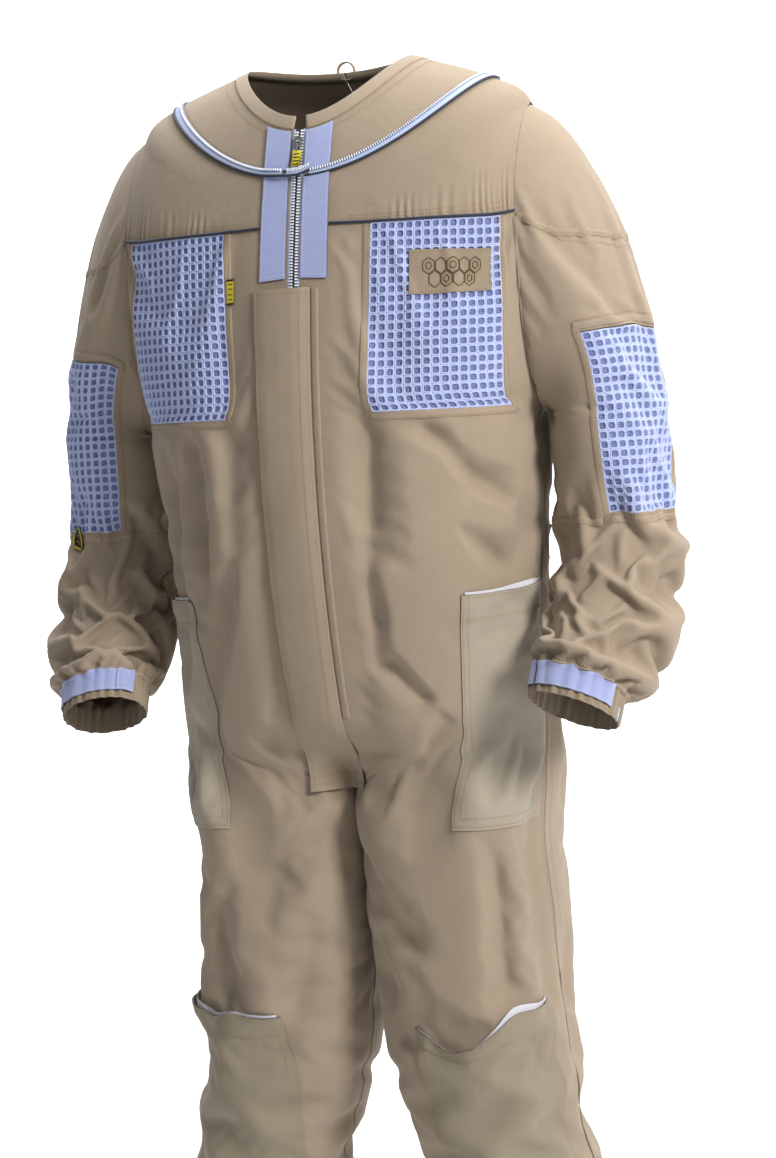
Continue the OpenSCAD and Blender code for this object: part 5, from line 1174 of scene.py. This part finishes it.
# ------------------------------------------------------------------ wrist straps
for s in SIDES:
    H = GS[s]; u = np.linspace(-.188, .188, 46); v = np.linspace(6.06, 6.78, 9); A, V = np.meshgrid(u, v)
    o1 = np.full(A.shape, 3.1); q = patch(H, A, V, o1, 1.2)
    u2 = np.linspace(-.186, -.112, 12); A2, V2 = np.meshgrid(u2, v); q2 = patch(H, A2, V2, 4.3, 1.1)
    P, F, U = join_parts([(q[0], q[1], q[3]), (q2[0], q2[1], q2[3])])
    o = make("cuff_strap_tape_"+s, P, F, s, M["loop"], np.concatenate([q[2], q2[2]]), U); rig.ride(o, "strap_"+s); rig.slot(o, "loop"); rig.replaces(o, "cuff_strap_"+s)
    b = []
    for pth, of in (([(-.182, 6.10), (.182, 6.10)], 3.15), ([(.182, 6.73), (-.182, 6.73)], 3.15), ([(.178, 6.1), (.178, 6.73)], 3.15), ([(.168, 6.1), (.168, 6.73)], 3.15), ([(-.120, 6.1), (-.120, 6.73)], 4.35), ([(-.127, 6.1), (-.127, 6.73)], 4.35), ([(-.182, 6.1), (-.12, 6.1)], 4.35), ([(-.182, 6.73), (-.12, 6.73)], 4.35)):
        pts = path(pth); P_ = H.at(pts[:, 0], pts[:, 1], of); N_ = H.nor(pts[:, 0], pts[:, 1]); qq = stitches(lambda x, P_=P_, N_=N_: (P_, N_), pts, off=0., pitch=2.8, length=2., r=.28)
        if qq: b.append((qq[0], qq[1], qq[2]))
    P, F, U = join_parts(b); o = make("cuff_strap_stitching_"+s, P, F, s, M["threadw"], None, U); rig.ride(o, "strap_"+s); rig.slot(o, "loop")
    # cord loop that hangs below the cuff
    b = Batch(); b.sweep(H, [(.243, 6.6), (.243, 6.98)], ribbon(3, 1.), off=1.5); b.put("cuff_loop_tab_"+s, "SF", s, M["white"], "white")

# ------------------------------------------------------------------ waist elastic, centre back
for s in SIDES:
    G = GB[s]; a = np.linspace(.58, .99985, 150); v = np.linspace(6.80, 7.24, 12); A, V = np.meshgrid(a, v)
    t_ = (V-6.8)/.44; r = 1.9+.8*np.cos(2*np.pi*62*A+.7*np.sin(2*np.pi*9*A))*(.35+.65*np.abs(np.cos(np.pi*3*t_)))*(1-.25*np.sin(np.pi*t_))
    put_patch("waist_elastic_"+s, patch(G, A, V, r, 1.1), "T", s, M["khaki2"], "khaki", ["waist_elastic"] if s == "left" else ())
    b = Batch()
    for vv_ in (6.84, 6.95, 7.09, 7.20): b.stitch(G, [(x, vv_) for x in np.linspace(.584, .9998, 30)], off=2.25, pitch=3.1)
    b.put("waist_stitching_"+s, "T", s, M["thread"])
# hanger loop
t_ = np.linspace(0, 2*np.pi, 73)[:-1]
C = np.stack([9*np.cos(t_), 0*t_+32.6, 7.5+9*np.sin(t_)], -1); Nn = np.stack([np.cos(t_), 0*t_, np.sin(t_)], -1); Tt = np.stack([-np.sin(t_), 0*t_, np.cos(t_)], -1)
pr = np.array([(-3.0, -.7), (-3.0, .7), (-2.4, .95), (2.4, .95), (3.0, .7), (3.0, -.7), (2.4, -.95), (-2.4, -.95)])
Lq = np.cross(Nn, Tt); X_ = C[:, None]+Lq[:, None]*pr[None, :, 0, None]+Nn[:, None]*pr[None, :, 1, None]; idx = np.arange(72*8).reshape(72, 8)
F = np.stack([idx, np.roll(idx, -1, 1), np.roll(np.roll(idx, -1, 0), -1, 1), np.roll(idx, -1, 0)], -1).reshape(-1, 4)
put("hanger_loop_tape", X_.reshape(-1, 3), F, "T", "left", M["khaki2"], None, np.stack([np.repeat(t_*9, 8), np.tile(pr[:, 0], 72)], -1), None, "khaki", ["hanger_loop"])

# ------------------------------------------------------------------ ankle zips
for s in SIDES:
    G = GB[s]
    def legp(u, v, off): return G.at(u, v, off)
    for k, (u0, u1) in enumerate(((.4845, .4988), (.5012, .5155))):
        A, V = np.meshgrid(np.linspace(u0, u1, 5), np.linspace(15.1, 17.95, 60))
        put_patch("ankle_zip_tape_%s_%s" % ("ab"[k], s), patch(G, A, V, 2.6, 1.), "shin_"+s, s, M["white"], "white", ["ankle_zip_"+s] if k == 0 else ())
    b = Batch(); b.stitch(G, [(.4975, 15.15), (.4975, 17.93)], off=2.5, pitch=2.2, length=1.2, r=1.5); b.stitch(G, [(.5025, 15.163), (.5025, 17.93)], off=2.5, pitch=2.2, length=1.2, r=1.5)
    b.put("ankle_zip_teeth_"+s, "shin_"+s, s, M["teeth"], "teeth")
    b = Batch(); b.stitch(G, [(.4815, 15.06), (.4815, 17.9)], off=.5); b.stitch(G, [(.5185, 15.06), (.5185, 17.9)], off=.5); b.stitch(G, [(.4815, 15.06), (.5185, 15.06)], off=.5)
    b.put("ankle_zip_stitching_"+s, "shin_"+s, s, M["thread"])

# ------------------------------------------------------------------ metal and the puller's tag
def shown(name): return bpy.data.objects.get(name)
for n_ in ("front_zip_slider", "front_zip_puller", "ankle_zip_slider_left", "ankle_zip_slider_right"):
    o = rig.node(n_) if hasattr(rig, "node") else shown(n_)
    if o is not None:
        o.data.materials.clear(); o.data.materials.append(M["metal"])

# soft tag on the puller: a folded woven tape, yellow with dark bars
X, T = np.meshgrid(np.linspace(-4.3, 4.3, 9), np.linspace(0, 1, 26)); Z = -83.5-15.5*T
Y = zarc(Z)-4.5-1.3*np.sin(T*3.1)-.5*np.sin(X*.7+T*5.)
q = slab(np.stack([X+.8*np.sin(T*4.), Y, Z], -1), np.broadcast_to([0., -1, 0], X.shape+(3,)), 1.5)
o = make("puller_tag", q[0], q[1], "left", M["yellow"], q[2], q[3]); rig.ride(o, "zip_puller"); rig.replaces(o, "puller_tab"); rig.slot(o, "label")
b_ = []
for t0 in (.2, .42, .64, .84):
    X, T = np.meshgrid(np.linspace(-3.2, 3.2, 7), np.linspace(t0, t0+.07, 3)); Z = -83.5-15.5*T
    Y = zarc(Z)-4.75-1.3*np.sin(T*3.1)-.5*np.sin(X*.7+T*5.); q = slab(np.stack([X+.8*np.sin(T*4.), Y, Z], -1), np.broadcast_to([0., -1, 0], X.shape+(3,)), .5); b_.append((q[0], q[1], q[3]))
P, F, U = join_parts(b_); o = make("puller_tag_weave", P, F, "left", M["black"], None, U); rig.ride(o, "zip_puller"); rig.slot(o, "label")

# ------------------------------------------------------------------ what is a sheet of cloth, with its cut size
def declare(o, held, on):
    me = o.data; uv = np.empty(len(me.loops)*2); me.uv_layers["UVMap"].data.foreach_get("uv", uv); uv = uv.reshape(-1, 2)/10.
    ar = np.empty(len(me.polygons)); me.polygons.foreach_get("area", ar); ar = float(ar.sum())/2
    w_, l_ = [max(float(np.ptp(uv[:, i])), .01) for i in (0, 1)]
    if ar > w_*l_: w_ = ar/l_*1.002
    if o.name.startswith("hook_strip_"):
        co = np.array([list(o.matrix_world @ Vector(c)) for c in o.bound_box]); l_ = float(np.hypot(np.ptp(co[:, 1]), np.ptp(co[:, 2]))); w_ = ar/l_*1.002
    elif ar < .5*w_*l_: w_ = max(.005, ar/l_*1.002)
    w_, l_ = round(w_, 4), round(l_, 4)
    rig.sheet(o, (w_, l_), held, rests_on=on, area=float(min(max(ar, .301*w_*l_), w_*l_)))
for o in list(bpy.data.objects):
    n = o.name
    if o.type != "MESH" or "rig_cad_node" in o or "stitch" in n or "UVMap" not in o.data.uv_layers: continue
    sd_ = n.rsplit("_", 1)[-1].split(".")[0]
    if n.startswith(("yoke_cloth", "collar_cloth")): declare(o, "hung", ("hanger_loop_tape",))
    elif n.startswith(("front_cloth", "back_cloth")): declare(o, "hung", ("yoke_cloth_"+sd_,))
    elif n.startswith("lower_leg_cloth"): declare(o, "hung", ("front_cloth_"+sd_,))
    elif n.startswith("upper_sleeve_cloth"): declare(o, "hung", ("yoke_cloth_"+sd_,))
    elif n.startswith("forearm_cloth"): declare(o, "hung", ("upper_sleeve_cloth_"+sd_,))
    elif n.startswith("ankle_band"): declare(o, "gathered", ("lower_leg_cloth_"+sd_,))
    elif n.startswith("wrist_band"): declare(o, "gathered", ("forearm_cloth_"+sd_,))
    elif n.startswith("waist_elastic"): declare(o, "gathered", ("back_cloth_"+sd_,))
    elif n.startswith("storm_flap_cloth"): declare(o, "hung", ("front_cloth_left",))
    elif n.startswith("hip_pocket_") and "hem" not in n and "lining" not in n: declare(o, "stretched", ("front_cloth_"+sd_,))
    elif n.startswith("knee_pocket_") and "hem" not in n and "lining" not in n: declare(o, "stretched", ("lower_leg_cloth_"+sd_,))
    elif n in ("chest_patch_cloth",): declare(o, "stretched", ("chest_mesh_left_grid",))
    elif "_net" in n: declare(o, "stretched", ("yoke_cloth_left" if "left" in n else "yoke_cloth_right",))
    elif n.startswith(("hook_strip_", "cuff_strap_tape", "ring_tape_")): declare(o, "laid", ("yoke_cloth_left",) if "cuff" not in n else ("wrist_band_"+sd_,))

# ------------------------------------------------------------------ camera, light, floor
for n_ in ("Cube", "Light", "Camera"):
    if n_ in bpy.data.objects: bpy.data.objects.remove(bpy.data.objects[n_])
sc = bpy.context.scene
def camera():
    az, tilt, roll = .3512, .0698, .0543; pos = np.array([914.5, -2421.5, -330.7]); f = 2535.
    back = np.array([math.sin(az)*math.cos(tilt), -math.cos(az)*math.cos(tilt), math.sin(tilt)])
    r0 = np.array([math.cos(az), math.sin(az), 0]); u0 = np.cross(r0, -back)
    r = r0*math.cos(roll)-u0*math.sin(roll); u = r0*math.sin(roll)+u0*math.cos(roll)
    cam = bpy.data.cameras.new("camera"); cam.sensor_fit = "AUTO"; cam.sensor_width = 36; cam.lens = f*36/1158; cam.clip_end = 50
    o = bpy.data.objects.new("camera", cam); sc.collection.objects.link(o)
    from mathutils import Matrix
    m = Matrix([[r[0], u[0], back[0], pos[0]*.001], [r[1], u[1], back[1], pos[1]*.001], [r[2], u[2], back[2], pos[2]*.001], [0, 0, 0, 1]]); o.matrix_world = m
    sc.camera = o
camera()
w = bpy.data.worlds.new("studio"); sc.world = w; w.use_nodes = True; w.node_tree.nodes["Background"].inputs[0].default_value = (.95, .97, 1, 1); w.node_tree.nodes["Background"].inputs[1].default_value = .25
sc.view_settings.view_transform = "Standard"
def area(name, loc, tgt, size, e, col=(1, 1, 1)):
    l = bpy.data.lights.new(name, "AREA"); l.size = size; l.energy = e; l.color = col
    o = bpy.data.objects.new(name, l); sc.collection.objects.link(o); o.location = loc
    o.rotation_euler = (Vector(tgt)-Vector(loc)).to_track_quat("-Z", "Y").to_euler()
area("key", (2.6, -1.35, 1.0), (0, 0, -.5), .9, 102, (1, .985, .96)); area("fill", (-1.8, -2.8, .0), (0, 0, -.7), 2., 3., (.93, .96, 1)); area("top", (.7, -.5, 1.9), (0, 0, -.4), 1.2, 16)
area("wall", (0, 1.0, 1.9), (0, 3.4, -.2), 3., 200); area("wall_far", (-2.4, 4.3, 2.1), (-2.5, 7., -.1), 3., 290)
# floor and backdrop in one sweep
me = bpy.data.meshes.new("floor"); n = 40; ys = [-14.]+[5.6+1.4*math.sin(t*math.pi/2/14) for t in range(15)]+[7.]; zs = [0.]+[1.4*(1-math.cos(t*math.pi/2/14)) for t in range(15)]+[7.]
vs = [(x, y, z-1.468) for x in (-14., 14.) for y, z in zip(ys, zs)]; k = len(ys)
me.from_pydata(vs, [], [(i, i+1, i+1+k, i+k) for i in range(k-1)]); me.update()
for p in me.polygons: p.use_smooth = True
fl = bpy.data.objects.new("floor", me); sc.collection.objects.link(fl); me.materials.append(plain("pale_floor", (244, 244, 245), .8, 0., .02, 60, .02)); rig.stage(fl)

sizes = {"cad": CADB}
sizes["visual"] = [list(map(float, x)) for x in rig.bounds()]
try:
    with open("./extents.json", "w") as f_: json.dump(sizes, f_)
except OSError:
    pass
